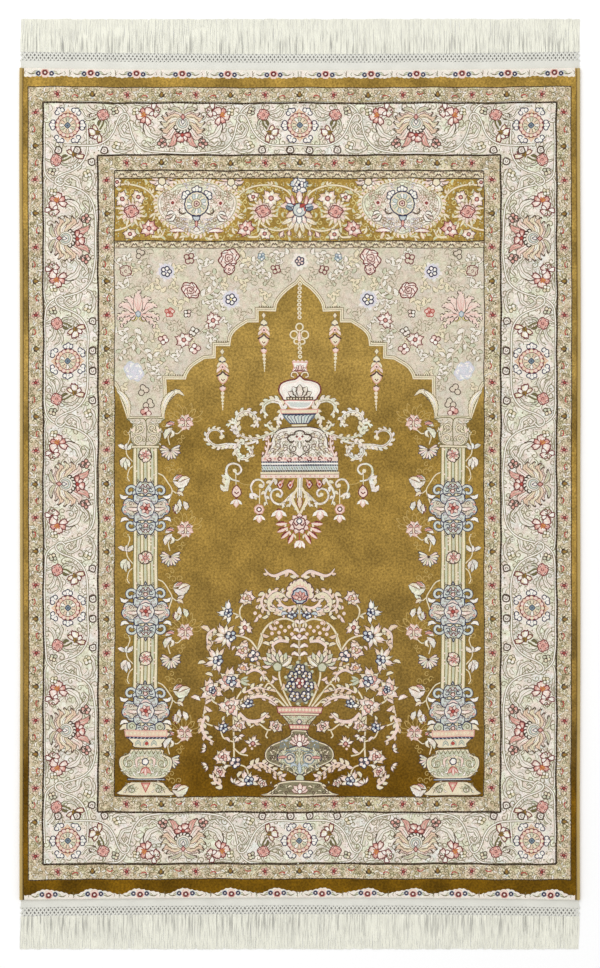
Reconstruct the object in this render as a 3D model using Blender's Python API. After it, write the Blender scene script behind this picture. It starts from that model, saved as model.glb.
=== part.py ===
"""A fringed prayer rug lying flat. Metres, +Z up, the niche in its pattern points along +Y.

The origin is on the floor under the middle of the rug.
"""

import math
import random

import bmesh
import bpy
from mathutils import Vector

# Driving dimensions of the rug
WIDTH = 0.800  # over both edge bindings
CLOTH_LENGTH = 1.187  # knotted cloth at its corners, without the white ends
CLOTH_THICKNESS = 0.0065  # ground weave and pile together
END_BOW = 0.0032  # how far the ends draw in at mid-width
EDGE_SWAY = 0.0007  # how far the long edges wander
TOP_SWELL = 0.0003  # how far the pile rises and falls

BINDING_WIDTH = 0.0052  # overcast edge
BINDING_HEIGHT = 0.0062

HEADING_LENGTH = 0.0240  # flat white weave and the knotted net beyond it
HEADING_THICKNESS = 0.0026
HEADING_WIDTH = 0.797

FRINGE_TIP = 0.6648  # where the trimmed strands end, from the middle
STRAND_COUNT = 142  # at each end, one for each knot of the net's last row
STRAND_WIDTH = 0.0037
STRAND_TAPER = 0.80  # tip against root
STRAND_STEPS = 3
STRAND_DRIFT = 0.0016  # how far neighbours lean together
STRAND_STRAY = 0.0003  # how far each leans by itself
STRAND_UNEVEN = 0.0026  # the shortest against the longest

GAP = 0.0003  # between pieces that meet

HALF_CLOTH = WIDTH / 2 - BINDING_WIDTH - GAP


def clear_objects():
    for old in list(bpy.data.objects):
        bpy.data.objects.remove(old, do_unlink=True)


def fabric(name, colour, roughness):
    made = bpy.data.materials.new(name)
    made.use_nodes = True
    shader = made.node_tree.nodes["Principled BSDF"]
    shader.inputs["Base Color"].default_value = (*colour, 1.0)
    shader.inputs["Roughness"].default_value = roughness
    shader.inputs["Metallic"].default_value = 0.0
    return made


def finish(bm, name, material, parent):
    """Turns the bmesh into a named object under the rug's empty."""
    bmesh.ops.recalc_face_normals(bm, faces=bm.faces)
    mesh = bpy.data.meshes.new(name)
    bm.to_mesh(mesh)
    bm.free()
    mesh.materials.append(material)
    made = bpy.data.objects.new(name, mesh)
    made.parent = parent
    bpy.context.collection.objects.link(made)
    return made


def edge_shift(y, side):
    """How far a long edge wanders outwards (+) or inwards (-) at y."""
    slow = math.sin(4.7 * y + 0.9 * side)
    quick = math.sin(13.0 * y - 1.7 * side)
    return EDGE_SWAY * (0.6 * slow + 0.4 * quick)


def end_line(x):
    """Where the knotted cloth ends, measured from the middle, at x."""
    across = min(abs(x) / HALF_CLOTH, 1.0)
    return CLOTH_LENGTH / 2 - END_BOW * (1.0 - across**2)


def top_swell(x, y):
    waves = math.sin(9.0 * x + 5.0 * y) + math.sin(14.0 * y - 6.0 * x + 1.0)
    return TOP_SWELL * 0.5 * waves


def make_cloth(material, parent):
    """The knotted cloth: one slab, flat below, with a soft rim and a gently uneven top."""
    bm = bmesh.new()
    bmesh.ops.create_grid(bm, x_segments=20, y_segments=30, size=1.0)
    for v in bm.verts:
        across, along = v.co.x, v.co.y
        x, y = across * HALF_CLOTH, along * CLOTH_LENGTH / 2
        side = 1 if across > 0 else -1
        v.co.y = along * end_line(x)
        v.co.x = x + abs(across) * side * edge_shift(y, side)
        v.co.z = 0.0
    made = bmesh.ops.extrude_face_region(bm, geom=bm.faces[:])
    top = [g for g in made["geom"] if isinstance(g, bmesh.types.BMVert)]
    bmesh.ops.translate(bm, verts=top, vec=(0.0, 0.0, CLOTH_THICKNESS))
    under = [f for f in bm.faces if f.calc_center_median().z < 1e-6]
    bmesh.ops.dissolve_faces(bm, faces=under)
    rim = [e for e in bm.edges if is_top_rim(e)]
    bmesh.ops.bevel(
        bm, geom=rim, offset=0.0022, segments=2, profile=0.5, affect="EDGES", material=-1
    )
    for v in bm.verts:
        if v.co.z > CLOTH_THICKNESS / 3:
            v.co.z += top_swell(v.co.x, v.co.y) * v.co.z / CLOTH_THICKNESS
    return finish(bm, "rug_body", material, parent)


def is_top_rim(edge):
    """True for an edge where the top meets a side wall."""
    high = all(v.co.z > CLOTH_THICKNESS * 0.9 for v in edge.verts)
    upright = any(f.calc_center_median().z < CLOTH_THICKNESS * 0.9 for f in edge.link_faces)
    return high and upright


def make_binding(name, side, material, parent):
    """The overcast edge: a flattened round bar that follows the cloth's long side."""
    steps = 26
    length = 2 * end_line(HALF_CLOTH)
    bm = bmesh.new()
    ring = bmesh.ops.create_circle(bm, cap_ends=True, segments=8, radius=0.5)["verts"]
    flat = 0.5 * math.cos(math.pi / 8)
    for v in ring:
        angle = math.atan2(v.co.y, v.co.x) + math.pi / 8
        across, up = 0.5 * math.cos(angle), 0.5 * math.sin(angle)
        v.co.x = across / flat / 2 * BINDING_WIDTH
        v.co.z = (up / flat / 2 + 0.5) * BINDING_HEIGHT
        v.co.y = -length / 2
    middle = WIDTH / 2 - BINDING_WIDTH / 2
    start = side * (middle + edge_shift(-length / 2, side))
    bmesh.ops.translate(bm, verts=ring, vec=(start, 0.0, 0.0))
    front = bm.faces[:]
    for step in range(steps):
        y0, y1 = (-length / 2 + length * (step + k) / steps for k in (0, 1))
        drift = side * (edge_shift(y1, side) - edge_shift(y0, side))
        made = bmesh.ops.extrude_face_region(bm, geom=front)["geom"]
        moved = [g for g in made if isinstance(g, bmesh.types.BMVert)]
        bmesh.ops.translate(bm, verts=moved, vec=(drift, y1 - y0, 0.0))
        if step:
            bmesh.ops.delete(bm, geom=front, context="FACES_ONLY")
        front = [g for g in made if isinstance(g, bmesh.types.BMFace)]
    return finish(bm, name, material, parent)


def root_edges():
    """Where the strands' roots begin and end across the heading, left to right."""
    pitch = HEADING_WIDTH / STRAND_COUNT
    marks = []
    for k in range(STRAND_COUNT):
        centre = -HEADING_WIDTH / 2 + pitch * (k + 0.5)
        marks += [centre - STRAND_WIDTH / 2, centre + STRAND_WIDTH / 2]
    return marks


def heading_outline(end):
    """The white heading seen from above: its inner line along the cloth, then the roots."""
    half = HEADING_WIDTH / 2
    inner = [-half + HEADING_WIDTH * k / 20 for k in range(21)]
    outer = [-half, *root_edges(), half]
    near = [(x, end * (end_line(x) + GAP)) for x in inner]
    far = [(x, end * (end_line(x) + GAP + HEADING_LENGTH)) for x in reversed(outer)]
    return near + far


def make_fringe(name, end, seed, material, parent):
    """The flat white heading with its trimmed strands, all lying on the floor."""
    chance = random.Random(seed)
    bm = bmesh.new()
    corners = [bm.verts.new((x, y, 0.0)) for x, y in heading_outline(end)]
    bm.faces.new(corners)
    made = bmesh.ops.extrude_face_region(bm, geom=bm.faces[:])["geom"]
    top = [g for g in made if isinstance(g, bmesh.types.BMVert)]
    bmesh.ops.translate(bm, verts=top, vec=(0.0, 0.0, HEADING_THICKNESS))
    roots = sorted(
        (f for f in bm.faces if is_root(f, end)), key=lambda f: f.calc_center_median().x
    )
    leans = [strand_lean(k, end, chance) for k in range(len(roots))]
    tips = [FRINGE_TIP - STRAND_UNEVEN * chance.random() ** 1.5 for _ in roots]
    tips[chance.randrange(len(tips))] = FRINGE_TIP
    faces = roots
    for step in range(1, STRAND_STEPS + 1):
        faces = bmesh.ops.extrude_discrete_faces(bm, faces=faces)["faces"]
        faces.sort(key=lambda f: f.calc_center_median().x)
        for face, lean, tip in zip(faces, leans, tips):
            step_strand(face, step, lean, tip * end)
    return finish(bm, name, material, parent)


def is_root(face, end):
    """True for an upright face on the heading's outer side that is as wide as a strand."""
    middle = face.calc_center_median()
    level = abs(middle.z - HEADING_THICKNESS / 2) < 1e-4
    outside = end * middle.y > end_line(middle.x) + HEADING_LENGTH / 2
    xs = [v.co.x for v in face.verts]
    return level and outside and abs(max(xs) - min(xs) - STRAND_WIDTH) < 1e-5


def strand_lean(k, end, chance):
    """How far a strand's tip leans sideways; neighbours lean much alike."""
    drift = math.sin(0.31 * k + end) + 0.6 * math.sin(0.13 * k * k**0.15 + 2 * end)
    stray = chance.uniform(-STRAND_STRAY, STRAND_STRAY)
    return STRAND_DRIFT * drift / 1.6 + stray


def step_strand(face, step, lean, tip):
    """Carries a strand's end face one step on towards its tip, lying on the floor."""
    middle = face.calc_center_median()
    left = STRAND_STEPS - step + 1
    goal = Vector((middle.x + lean * step / 6, middle.y + (tip - middle.y) / left, 0.0))
    slim = STRAND_TAPER ** (1 / STRAND_STEPS)
    for v in face.verts:
        v.co.x = goal.x + (v.co.x - middle.x) * slim
        v.co.y = goal.y
        v.co.z *= slim


clear_objects()
rug = bpy.data.objects.new("prayer_rug", None)
bpy.context.collection.objects.link(rug)

pile = fabric("gold_pile", (0.40, 0.30, 0.12), 0.85)
overcast = fabric("gold_binding_yarn", (0.48, 0.36, 0.15), 0.80)
warp = fabric("white_warp_yarn", (0.74, 0.73, 0.67), 0.90)

make_cloth(pile, rug)
make_binding("selvedge_left", -1, overcast, rug)
make_binding("selvedge_right", 1, overcast, rug)
make_fringe("fringe_arch_end", 1, 11, warp, rug)
make_fringe("fringe_foot_end", -1, 12, warp, rug)
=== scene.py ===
"""The looks of a fringed prayer rug with a niche, a hanging lamp, two columns and a vase.

The rug lies flat, +Y towards the end that the niche points to. The pattern is drawn on a chart of
squares, as for a weaver: x counts from the left, y from the fringe beyond the niche downwards.
"""

import math
import random

import bmesh
import bpy
import numpy as np
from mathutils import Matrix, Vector
from mathutils.geometry import delaunay_2d_cdt


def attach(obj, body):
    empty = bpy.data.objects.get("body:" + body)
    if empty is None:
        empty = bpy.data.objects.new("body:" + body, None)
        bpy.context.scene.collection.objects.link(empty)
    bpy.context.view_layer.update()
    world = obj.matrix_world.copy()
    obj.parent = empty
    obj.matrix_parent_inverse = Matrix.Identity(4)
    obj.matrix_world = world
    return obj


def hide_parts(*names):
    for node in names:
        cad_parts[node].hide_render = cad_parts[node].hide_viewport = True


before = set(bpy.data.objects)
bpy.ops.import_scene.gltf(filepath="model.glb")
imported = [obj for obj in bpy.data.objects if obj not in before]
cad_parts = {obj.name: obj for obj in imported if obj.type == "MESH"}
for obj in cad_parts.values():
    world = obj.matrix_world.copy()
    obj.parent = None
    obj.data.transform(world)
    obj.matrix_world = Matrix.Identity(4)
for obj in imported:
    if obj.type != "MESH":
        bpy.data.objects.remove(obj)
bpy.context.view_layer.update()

# ---------------------------------------------------------------------------------------------
# The room: a white sweep of paper under a large soft lamp, with the camera straight above the rug.
# ---------------------------------------------------------------------------------------------
FLOOR_SIDE = 12.0
CAMERA_HEIGHT = 3.265
LENS_MM = 85.0


def paper():
    made = bpy.data.materials.new("white_paper")
    made.use_nodes = True
    shader = made.node_tree.nodes["Principled BSDF"]
    shader.inputs["Base Color"].default_value = (0.99, 0.99, 0.99, 1.0)
    shader.inputs["Roughness"].default_value = 0.95
    return made


def make_floor():
    bm = bmesh.new()
    bmesh.ops.create_grid(bm, x_segments=1, y_segments=1, size=FLOOR_SIDE / 2)
    mesh = bpy.data.meshes.new("floor")
    bm.to_mesh(mesh)
    bm.free()
    mesh.materials.append(paper())
    floor = bpy.data.objects.new("floor", mesh)
    bpy.context.collection.objects.link(floor)


def add_lamp(name, where, side, watts):
    light = bpy.data.lights.new(name, "AREA")
    light.shape = "SQUARE"
    light.size = side
    light.energy = watts
    lamp = bpy.data.objects.new(name, light)
    lamp.location = where
    lamp.rotation_euler = (-Vector(where)).to_track_quat("-Z", "Y").to_euler()
    bpy.context.collection.objects.link(lamp)


make_floor()
add_lamp("soft_lamp", (-1.6, 2.0, 3.4), 2.6, 58.0)
world = bpy.data.worlds.new("studio")
world.use_nodes = True
world.node_tree.nodes["Background"].inputs["Color"].default_value = (1.0, 1.0, 1.0, 1.0)
world.node_tree.nodes["Background"].inputs["Strength"].default_value = 0.83
bpy.context.scene.world = world
bpy.context.scene.view_settings.view_transform = "Standard"

camera_data = bpy.data.cameras.new("camera")
camera_data.lens = LENS_MM
camera_data.sensor_width = 36.0
camera = bpy.data.objects.new("camera", camera_data)
camera.location = (0.0, 0.0, CAMERA_HEIGHT)
bpy.context.collection.objects.link(camera)
bpy.context.scene.camera = camera

# ---------------------------------------------------------------------------------------------
# The ground weave: the cotton cloth that the tufts are knotted into. It shows from below, ribbed
# by its wefts.
# ---------------------------------------------------------------------------------------------
WIDTH = 0.800
CLOTH_LENGTH = 1.187
CLOTH_THICKNESS = 0.0065
END_BOW = 0.0032
EDGE_SWAY = 0.0007
TOP_SWELL = 0.0003
BINDING_WIDTH = 0.0052
GAP = 0.0003
HALF_CLOTH = WIDTH / 2 - BINDING_WIDTH - GAP
WEAVE_TOP = 0.0015


def edge_shift(y, side):
    """How far a long edge wanders outwards (+) or inwards (-) at y."""
    return EDGE_SWAY * (0.6 * np.sin(4.7 * y + 0.9 * side) + 0.4 * np.sin(13.0 * y - 1.7 * side))


def end_line(x):
    """Where the knotted cloth ends, measured from the middle, at x."""
    across = np.minimum(np.abs(x) / HALF_CLOTH, 1.0)
    return CLOTH_LENGTH / 2 - END_BOW * (1.0 - across**2)


def new_material(name, roughness, sheen):
    """A plain material with its node tree, its shader and its object coordinates."""
    made = bpy.data.materials.new(name)
    made.use_nodes = True
    tree = made.node_tree
    shader = tree.nodes["Principled BSDF"]
    shader.inputs["Roughness"].default_value = roughness
    shader.inputs["Specular IOR Level"].default_value = 0.25
    shader.inputs["Sheen Weight"].default_value = sheen
    shader.inputs["Sheen Roughness"].default_value = 0.5
    where = tree.nodes.new("ShaderNodeTexCoord").outputs["Object"]
    return made, tree, shader, where


def node(tree, kind, inputs=(), **settings):
    """A new node with its settings made and its inputs given or linked by name."""
    made = tree.nodes.new(kind)
    for key, value in settings.items():
        setattr(made, key, value)
    for key, value in dict(inputs).items():
        if isinstance(value, bpy.types.NodeSocket):
            tree.links.new(value, made.inputs[key])
        else:
            made.inputs[key].default_value = value
    return made


def make_object(name, mesh, material):
    """An object of the rug with its one material."""
    mesh.materials.append(material)
    made = bpy.data.objects.new(name, mesh)
    bpy.context.collection.objects.link(made)
    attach(made, "root")
    return made


def node_tools(tree, where, dimensions="3D"):
    """Short ways to add a noise, a mapped range and a sum to a tree, each giving its output."""

    def noise(scale, detail=2.0, vector=where, output="Fac"):
        inputs = {"Vector": vector, "Scale": scale, "Detail": detail}
        return node(tree, "ShaderNodeTexNoise", inputs, noise_dimensions=dimensions).outputs[output]

    def ranged(value, low, high, to_low, to_high):
        inputs = {"Value": value, "From Min": low, "From Max": high, "To Min": to_low, "To Max": to_high}
        return node(tree, "ShaderNodeMapRange", inputs).outputs[0]

    def maths(operation, a, b, c=0.0):
        return node(tree, "ShaderNodeMath", {0: a, 1: b, 2: c}, operation=operation).outputs[0]

    return noise, ranged, maths


def cotton(name, colour, rib, depth, root_shade_streaks=0.0):
    """Matt cotton yarn, with ribs of the given pitch in metres; the last argument paints shade on single
    threads towards the roots of a fringe, standing in for the shadow between its locks."""
    made, tree, shader, where = new_material(name, 0.92, 0.15)
    noise, ranged, maths = node_tools(tree, where)
    fine = noise(900.0, 3.0)
    tone = ranged(maths("ADD", fine, noise(35.0)), 0.6, 1.4, 0.9, 1.06)
    drawn = node(tree, "ShaderNodeVectorMath", {0: where, 1: (1.0, 0.05, 1.0)}, operation="MULTIPLY")
    # painted shade: thin streaks darken single fringe threads near their roots by the net, for the shadow
    # between the locks
    lines = ranged(noise(460.0, 1.0, drawn.outputs[0]), 0.55, 0.64, 0.0, root_shade_streaks)
    y = node(tree, "ShaderNodeSeparateXYZ", {0: where}).outputs[1]
    root = ranged(maths("ABSOLUTE", y, 0.0), 0.628, 0.652, 1.0, 0.12)
    tone = maths("MULTIPLY", tone, maths("SUBTRACT", 1.0, maths("MULTIPLY", lines, root)))
    dyed = node(tree, "ShaderNodeVectorMath", {0: colour, "Scale": tone}, operation="SCALE")
    tree.links.new(dyed.outputs[0], shader.inputs["Base Color"])
    wave = {"Vector": where, "Scale": 0.314 / rib, "Distortion": 1.2, "Detail Scale": 40.0}
    ribs = node(tree, "ShaderNodeTexWave", wave, bands_direction="Y")
    rough = maths("ADD", ribs.outputs["Fac"], fine)
    bump = node(tree, "ShaderNodeBump", {"Height": rough, "Strength": 0.6, "Distance": depth})
    tree.links.new(bump.outputs[0], shader.inputs["Normal"])
    return made


def make_ground_weave():
    """The closed cotton sheet, cut to the cloth's outline."""
    bm = bmesh.new()
    bmesh.ops.create_grid(bm, x_segments=40, y_segments=60, size=1.0)
    for v in bm.verts:
        across, along = v.co.x, v.co.y
        x, y = across * HALF_CLOTH, along * CLOTH_LENGTH / 2
        side = 1 if across > 0 else -1
        v.co = (x + abs(across) * side * edge_shift(y, side), along * end_line(x), 0.0)
    made = bmesh.ops.extrude_face_region(bm, geom=bm.faces[:])
    top = [g for g in made["geom"] if isinstance(g, bmesh.types.BMVert)]
    bmesh.ops.translate(bm, verts=top, vec=(0.0, 0.0, WEAVE_TOP))
    bmesh.ops.recalc_face_normals(bm, faces=bm.faces)
    mesh = bpy.data.meshes.new("ground_weave")
    bm.to_mesh(mesh)
    bm.free()
    material = cotton("ground_weave_cotton", (0.52, 0.45, 0.33), 0.0024, 0.0004)
    made = make_object("ground_weave", mesh, material)
    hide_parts("rug_body")
    return made


ground_weave = make_ground_weave()

# ---------------------------------------------------------------------------------------------
# The gold edge: short cut pile all round, with a woven row of flowers at each end. The dyed yarns
# and the drawing of the chart start here, and the later parts of the pile use them too.
# ---------------------------------------------------------------------------------------------
CELL = WIDTH / 561.0  # one chart square in metres
MIDDLE = 299.75 + 484.0j  # the chart's middle
AXIS = 299.6  # the line that the pattern mirrors about
PILE_BOX = (23.12, 67.8, 576.38, 900.2)
BAND_LINES = (  # the lines between the pile's bands, from the gold edge inwards
    (27.8, 86.0, 571.4, 880.4),
    (43.0, 102.5, 556.2, 864.4),
    (98.0, 155.0, 501.2, 812.2),
    (114.8, 170.8, 484.4, 796.4),
)
PILE_FOOT = WEAVE_TOP + 0.00005
RIM = 0.0022  # the rounding of the pile's outer rim
YARNS = {
    "gold": (158, 127, 62),
    "honey": (190, 162, 98),
    "ochre": (150, 118, 58),
    "cream": (233, 221, 192),
    "ivory": (234, 226, 212),
    "snow": (246, 241, 232),
    "pearl": (238, 231, 220),
    "soot": (52, 40, 28),
    "sand": (206, 190, 158),
    "shell": (214, 192, 168),
    "linen": (219, 207, 187),
    "greige": (219, 209, 191),
    "olive": (118, 108, 76),
    "moss": (112, 106, 68),
    "lichen": (140, 132, 104),
    "tan": (148, 124, 92),
    "taupe": (124, 102, 88),
    "sage": (204, 205, 180),
    "mist": (208, 214, 208),
    "sky": (198, 206, 210),
    "lilac": (217, 214, 222),
    "steel": (122, 138, 148),
    "navy": (48, 50, 80),
    "wine": (112, 44, 48),
    "brick": (178, 78, 70),
    "rose": (220, 166, 154),
    "blush": (238, 214, 202),
    "peach": (230, 203, 178),
    "orange": (206, 146, 86),
    "lemon": (220, 206, 142),
    "umber": (76, 58, 48),
}
GROUNDS = {"gold": 1.0, "ivory": 0.25, "sand": 0.5, "greige": 0.75}  # kept in the yarns' alpha
LIGHTER = {"blush": "snow", "peach": "cream", "rose": "blush", "cream": "snow", "sage": "cream",
    "mist": "snow", "sky": "snow", "lilac": "snow"}


def linear(colour):
    """A dyer's colour, 0 to 255, as the renderer's linear one."""
    part = np.asarray(colour) / 255.0
    return np.where(part <= 0.04045, part / 12.92, ((part + 0.055) / 1.055) ** 2.4)


def run_of(*pairs):
    """Pairs of x and y as points."""
    return [complex(*pair) for pair in pairs]


def swung(side, *pairs):
    """Points given for the right side, on the side given by its sign."""
    return [side * x + 1j * y for x, y in pairs]


def smooth(points, step=1.5):
    """A smooth run through the given points, with a point about every step squares."""
    p = np.array(points, complex)
    p = np.concatenate(([2 * p[0] - p[1]], p, [2 * p[-1] - p[-2]]))
    run = []
    for a, b, c, d in zip(p, p[1:], p[2:], p[3:]):
        count = max(2, int(abs(c - b) / step) + 1)
        t = np.arange(count) / count
        run.append(
            0.5 * (2 * b + (c - a) * t + (2 * a - 5 * b + 4 * c - d) * t**2
                   + (3 * b - a - 3 * c + d) * t**3)
        )
    return np.concatenate([*run, p[-2:-1]])


def both_sides(*pairs, step=2.0):
    """A smooth closed outline from the points of its right half, mirrored about x = 0."""
    right = run_of(*pairs)
    left = [-z.conjugate() for z in reversed(right) if z.real]
    run = [left[-1], *right, *left] if right[0].real else [*right, *left, right[0]]
    return smooth(run, step)[:-1]


def bar(half, top, low_half, low):
    """A flat band across x = 0, from its upper width to its lower one."""
    return run_of((-half, top), (half, top), (low_half, low), (-low_half, low))


def steady(line, start, end):
    """A stroke's width along a line, even or tapering from start to end."""
    return np.linspace(start, start if end is None else end, len(line))


def leafy(line, width, skew):
    """A toothed leaf's width along its rib: nothing at both ends, widest about the middle."""
    t = np.linspace(0.0, 1.0, len(line)) ** skew
    teeth = 1 + 0.13 * np.cos(np.pi * np.arange(len(line)))
    return width * teeth * np.sin(np.pi * t) ** 0.8 + 0.12


def band(line, width):
    """The outline of a stroke of the given widths along a line."""
    along = np.gradient(line)
    side = 1j * along / np.maximum(np.abs(along), 1e-9)
    return np.concatenate((line + side * width / 2, (line - side * width / 2)[::-1]))


def lobed(count, radius, depth, points=5, turn=0.0):
    """A round outline with the given number of lobes, cut in by depth between them."""
    angle = np.arange(count * points) * 2 * np.pi / (count * points)
    bulge = np.abs(np.cos(count * angle / 2)) ** 0.6
    return (radius - depth + depth * bulge) * np.exp(1j * (angle + turn))


def grown(outline, by):
    """The outline moved outwards by the given distance."""
    ahead = np.roll(outline, -1) - outline
    ahead = ahead / np.maximum(np.abs(ahead), 1e-9)
    back = np.roll(ahead, 1)
    turned = outline.real * np.roll(outline.imag, -1) - outline.imag * np.roll(outline.real, -1)
    side = -1j if turned.sum() > 0 else 1j
    return outline + by * side * (ahead + back) / np.maximum(1 + (ahead * np.conj(back)).real, 0.5)


class Pen:
    """Draws on the chart from a place, turned, sized and perhaps mirrored."""

    def __init__(self, chart, where=0j, turn=1, flip=False):
        self.chart, self.where, self.turn, self.flip = chart, where, turn, flip

    def put(self, z):
        return self.where + self.turn * (np.conj(z) if self.flip else z)

    def at(self, where, angle=0.0, size=1.0, flip=False):
        """A pen moved to where, turned by angle in degrees, in this pen's own frame."""
        turn = size * np.exp(1j * math.radians(angle))
        turn = self.turn * (np.conj(turn) if self.flip else turn)
        return Pen(self.chart, self.put(where), turn, self.flip != flip)

    def fill(self, outline, yarn):
        self.chart.append((self.put(np.asarray(outline, complex)), yarn))

    def shape(self, outline, yarn, edge=None, width=0.7):
        """A filled outline, with an edge of another yarn round it."""
        outline = np.asarray(outline, complex)
        if edge:
            self.fill(grown(outline, width / 2), edge)
            outline = grown(outline, -width / 2)
        self.fill(outline, yarn)

    def line(self, points, width, yarn, end=None):
        """A stroke with straight parts, even or tapering to end."""
        line = np.array(points, complex)
        self.fill(band(line, steady(line, width, end)), yarn)

    def stroke(self, points, width, yarn, end=None):
        """A stroke bent smoothly through the points."""
        self.line(smooth(points), width, yarn, end)

    def cased(self, points, width, edge, inner, yarn):
        """A stroke with a narrower one of another yarn along its middle."""
        self.stroke(points, width, edge)
        self.stroke(points, inner, yarn)

    def leaf(self, points, width, yarn, edge=None, rim=0.6, rib=None, skew=1.0):
        """A leaf along a rib through the given points, with a lighter heart where it is broad."""
        line = smooth(points, 1.8)
        if edge:
            self.fill(band(line, leafy(line, width + rim, skew) + rim * 0.6), edge)
        self.fill(band(line, leafy(line, width - rim * 0.4, skew)), yarn)
        if width >= 3.4 and yarn in LIGHTER:
            heart = line[: max(3, 3 * len(line) // 4)]
            self.fill(band(heart, leafy(heart, width * 0.42, skew)), LIGHTER[yarn])
        if rib:
            self.fill(band(line, steady(line, 0.45, 0.2)), rib)

    def fan(self, place, leans, points, width, yarn, edge, rim):
        """The same leaf from one place in several directions, in degrees."""
        for lean in leans:
            self.at(place, lean).leaf(points, width, yarn, edge, rim)

    def blob(self, points, yarn, edge, width, step):
        """A filled shape with a smooth outline through the points."""
        self.shape(smooth([*points, points[0]], step)[:-1], yarn, edge, width)

    def halves(self):
        """This pen and its mirror image across its own y axis."""
        return self, self.at(0j, 180, flip=True)


def inside(outline, points):
    """Which of the points lie inside a closed outline."""
    a, b = outline[:, None], np.roll(outline, -1)[:, None]
    reach = b - a
    turn = reach.real * (points.imag - a.imag) - reach.imag * (points.real - a.real)
    up = (a.imag <= points.imag) & (b.imag > points.imag) & (turn > 0)
    down = (a.imag > points.imag) & (b.imag <= points.imag) & (turn < 0)
    return (up.sum(0) - down.sum(0)) != 0


def mirrored(chart):
    """The chart with everything drawn so far repeated across the rug's long middle line."""
    return chart + [(2 * AXIS - np.conj(outline), yarn) for outline, yarn in chart]


def to_rug(z):
    """Chart squares to metres on the rug, with the small unevenness of the loom."""
    x = np.interp(z.real, [0, AXIS, 484.4, 501.2, 556.2, 600], [0, 299.4, 483.3, 500.4, 556.3, 600])
    y = z.imag
    calm = np.clip((276.0 - np.abs(x - MIDDLE.real)) / 12, 0, 1)
    calm = calm * np.clip((410.0 - np.abs(y - MIDDLE.imag)) / 12, 0, 1)
    x = x + calm * (0.30 * np.sin(y / 17.0 + x / 60.0) + 0.22 * np.sin(y / 6.1 + x / 25.0))
    y = y + calm * (0.30 * np.sin(x / 19.0 + y / 70.0) + 0.22 * np.sin(x / 6.7 + y / 31.0))
    x, y = (x - MIDDLE.real) * CELL, (MIDDLE.imag - y) * CELL
    across = np.clip(x / HALF_CLOTH, -1, 1)
    side = np.where(across > 0, 1, -1)
    bow = np.abs(y / (CLOTH_LENGTH / 2)) ** 12 * (CLOTH_LENGTH / 2 - end_line(x))
    return x + side * np.abs(across) ** 3 * edge_shift(y, side), y - np.sign(y) * bow


def pile_height(z):
    """The pile's height over the floor at a place on the chart."""
    x, y = (z.real - MIDDLE.real) * CELL, (MIDDLE.imag - z.imag) * CELL
    waves = np.sin(9.0 * x + 5.0 * y) + np.sin(14.0 * y - 6.0 * x + 1.0)
    height = CLOTH_THICKNESS + TOP_SWELL * 0.5 * waves - 0.0001
    for past in (HALF_CLOTH - np.abs(x), CLOTH_LENGTH / 2 - np.abs(y)):
        short = np.clip(RIM - past, 0, RIM)
        height = height - (RIM - np.sqrt(RIM**2 - short**2))
    return height


def cut_cells(points, edges, low, high):
    """Cuts a box of the chart into triangles along the given lines."""
    flat = [Vector((z.real, z.imag)) for z in points]
    found, _, faces, _, _, _ = delaunay_2d_cdt(flat, edges, [], 0, 0.02, False)
    found = np.array([complex(*v) for v in found])
    faces = np.array([(f[0], f[k], f[k + 1]) for f in faces for k in range(1, len(f) - 1)])
    a, b, c = found[faces].T
    middle = (a + b + c) / 3
    kept = (middle.real > low.real) & (middle.real < high.real)
    kept &= (middle.imag > low.imag) & (middle.imag < high.imag)
    kept &= np.abs(((b - a) * np.conj(c - a)).imag) > 1e-5
    return found, faces[kept], middle[kept]


def yarn_of(chart, middle):
    """The number of the topmost shape at each place, or -1 on the bare ground."""
    order = np.argsort(middle.real)
    xs = middle.real[order]
    found = np.full(len(middle), -1)
    for k, (outline, _) in enumerate(chart):
        first, last = np.searchsorted(xs, [outline.real.min(), outline.real.max()])
        near = order[first:last]
        level = middle.imag[near]
        near = near[(level > outline.imag.min()) & (level < outline.imag.max())]
        found[near[inside(outline, middle[near])]] = k
    return found


def seen_lines(points, faces, yarn):
    """The lines where two yarns meet, as pairs of points, without the points that change little."""
    sides = np.sort(faces[:, [0, 1, 1, 2, 2, 0]].reshape(-1, 2), axis=1)
    owner = np.repeat(np.arange(len(faces)), 3)
    order = np.lexsort((sides[:, 1], sides[:, 0]))
    sides, owner = sides[order], owner[order]
    twin = np.flatnonzero((sides[1:] == sides[:-1]).all(axis=1))
    lines = sides[twin[yarn[owner[twin]] != yarn[owner[twin + 1]]]]
    rng = np.random.default_rng(1)
    for _ in range(9):
        ends = lines.ravel()
        order = np.argsort(ends, kind="stable")
        starts = np.searchsorted(ends[order], np.arange(len(points)))
        two = np.flatnonzero(np.bincount(ends, minlength=len(points)) == 2)
        e0, e1 = order[starts[two]], order[starts[two] + 1]
        a, b = ends[e0 ^ 1], ends[e1 ^ 1]
        reach = points[b] - points[a]
        off = np.abs((reach * np.conj(points[two] - points[a])).imag) / np.maximum(abs(reach), 1e-9)
        spare = (off < 0.08) & (np.abs(reach) < 7) & (a != b)
        rank = np.full(len(points), -1.0)
        rank[two[spare]] = rng.random(spare.sum())
        spare &= (rank[two] > rank[a]) & (rank[two] > rank[b])
        kept = np.delete(lines, np.concatenate((e0[spare], e1[spare])) // 2, axis=0)
        lines = np.concatenate((kept, np.stack((a[spare], b[spare]), axis=1)))
    return lines


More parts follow.
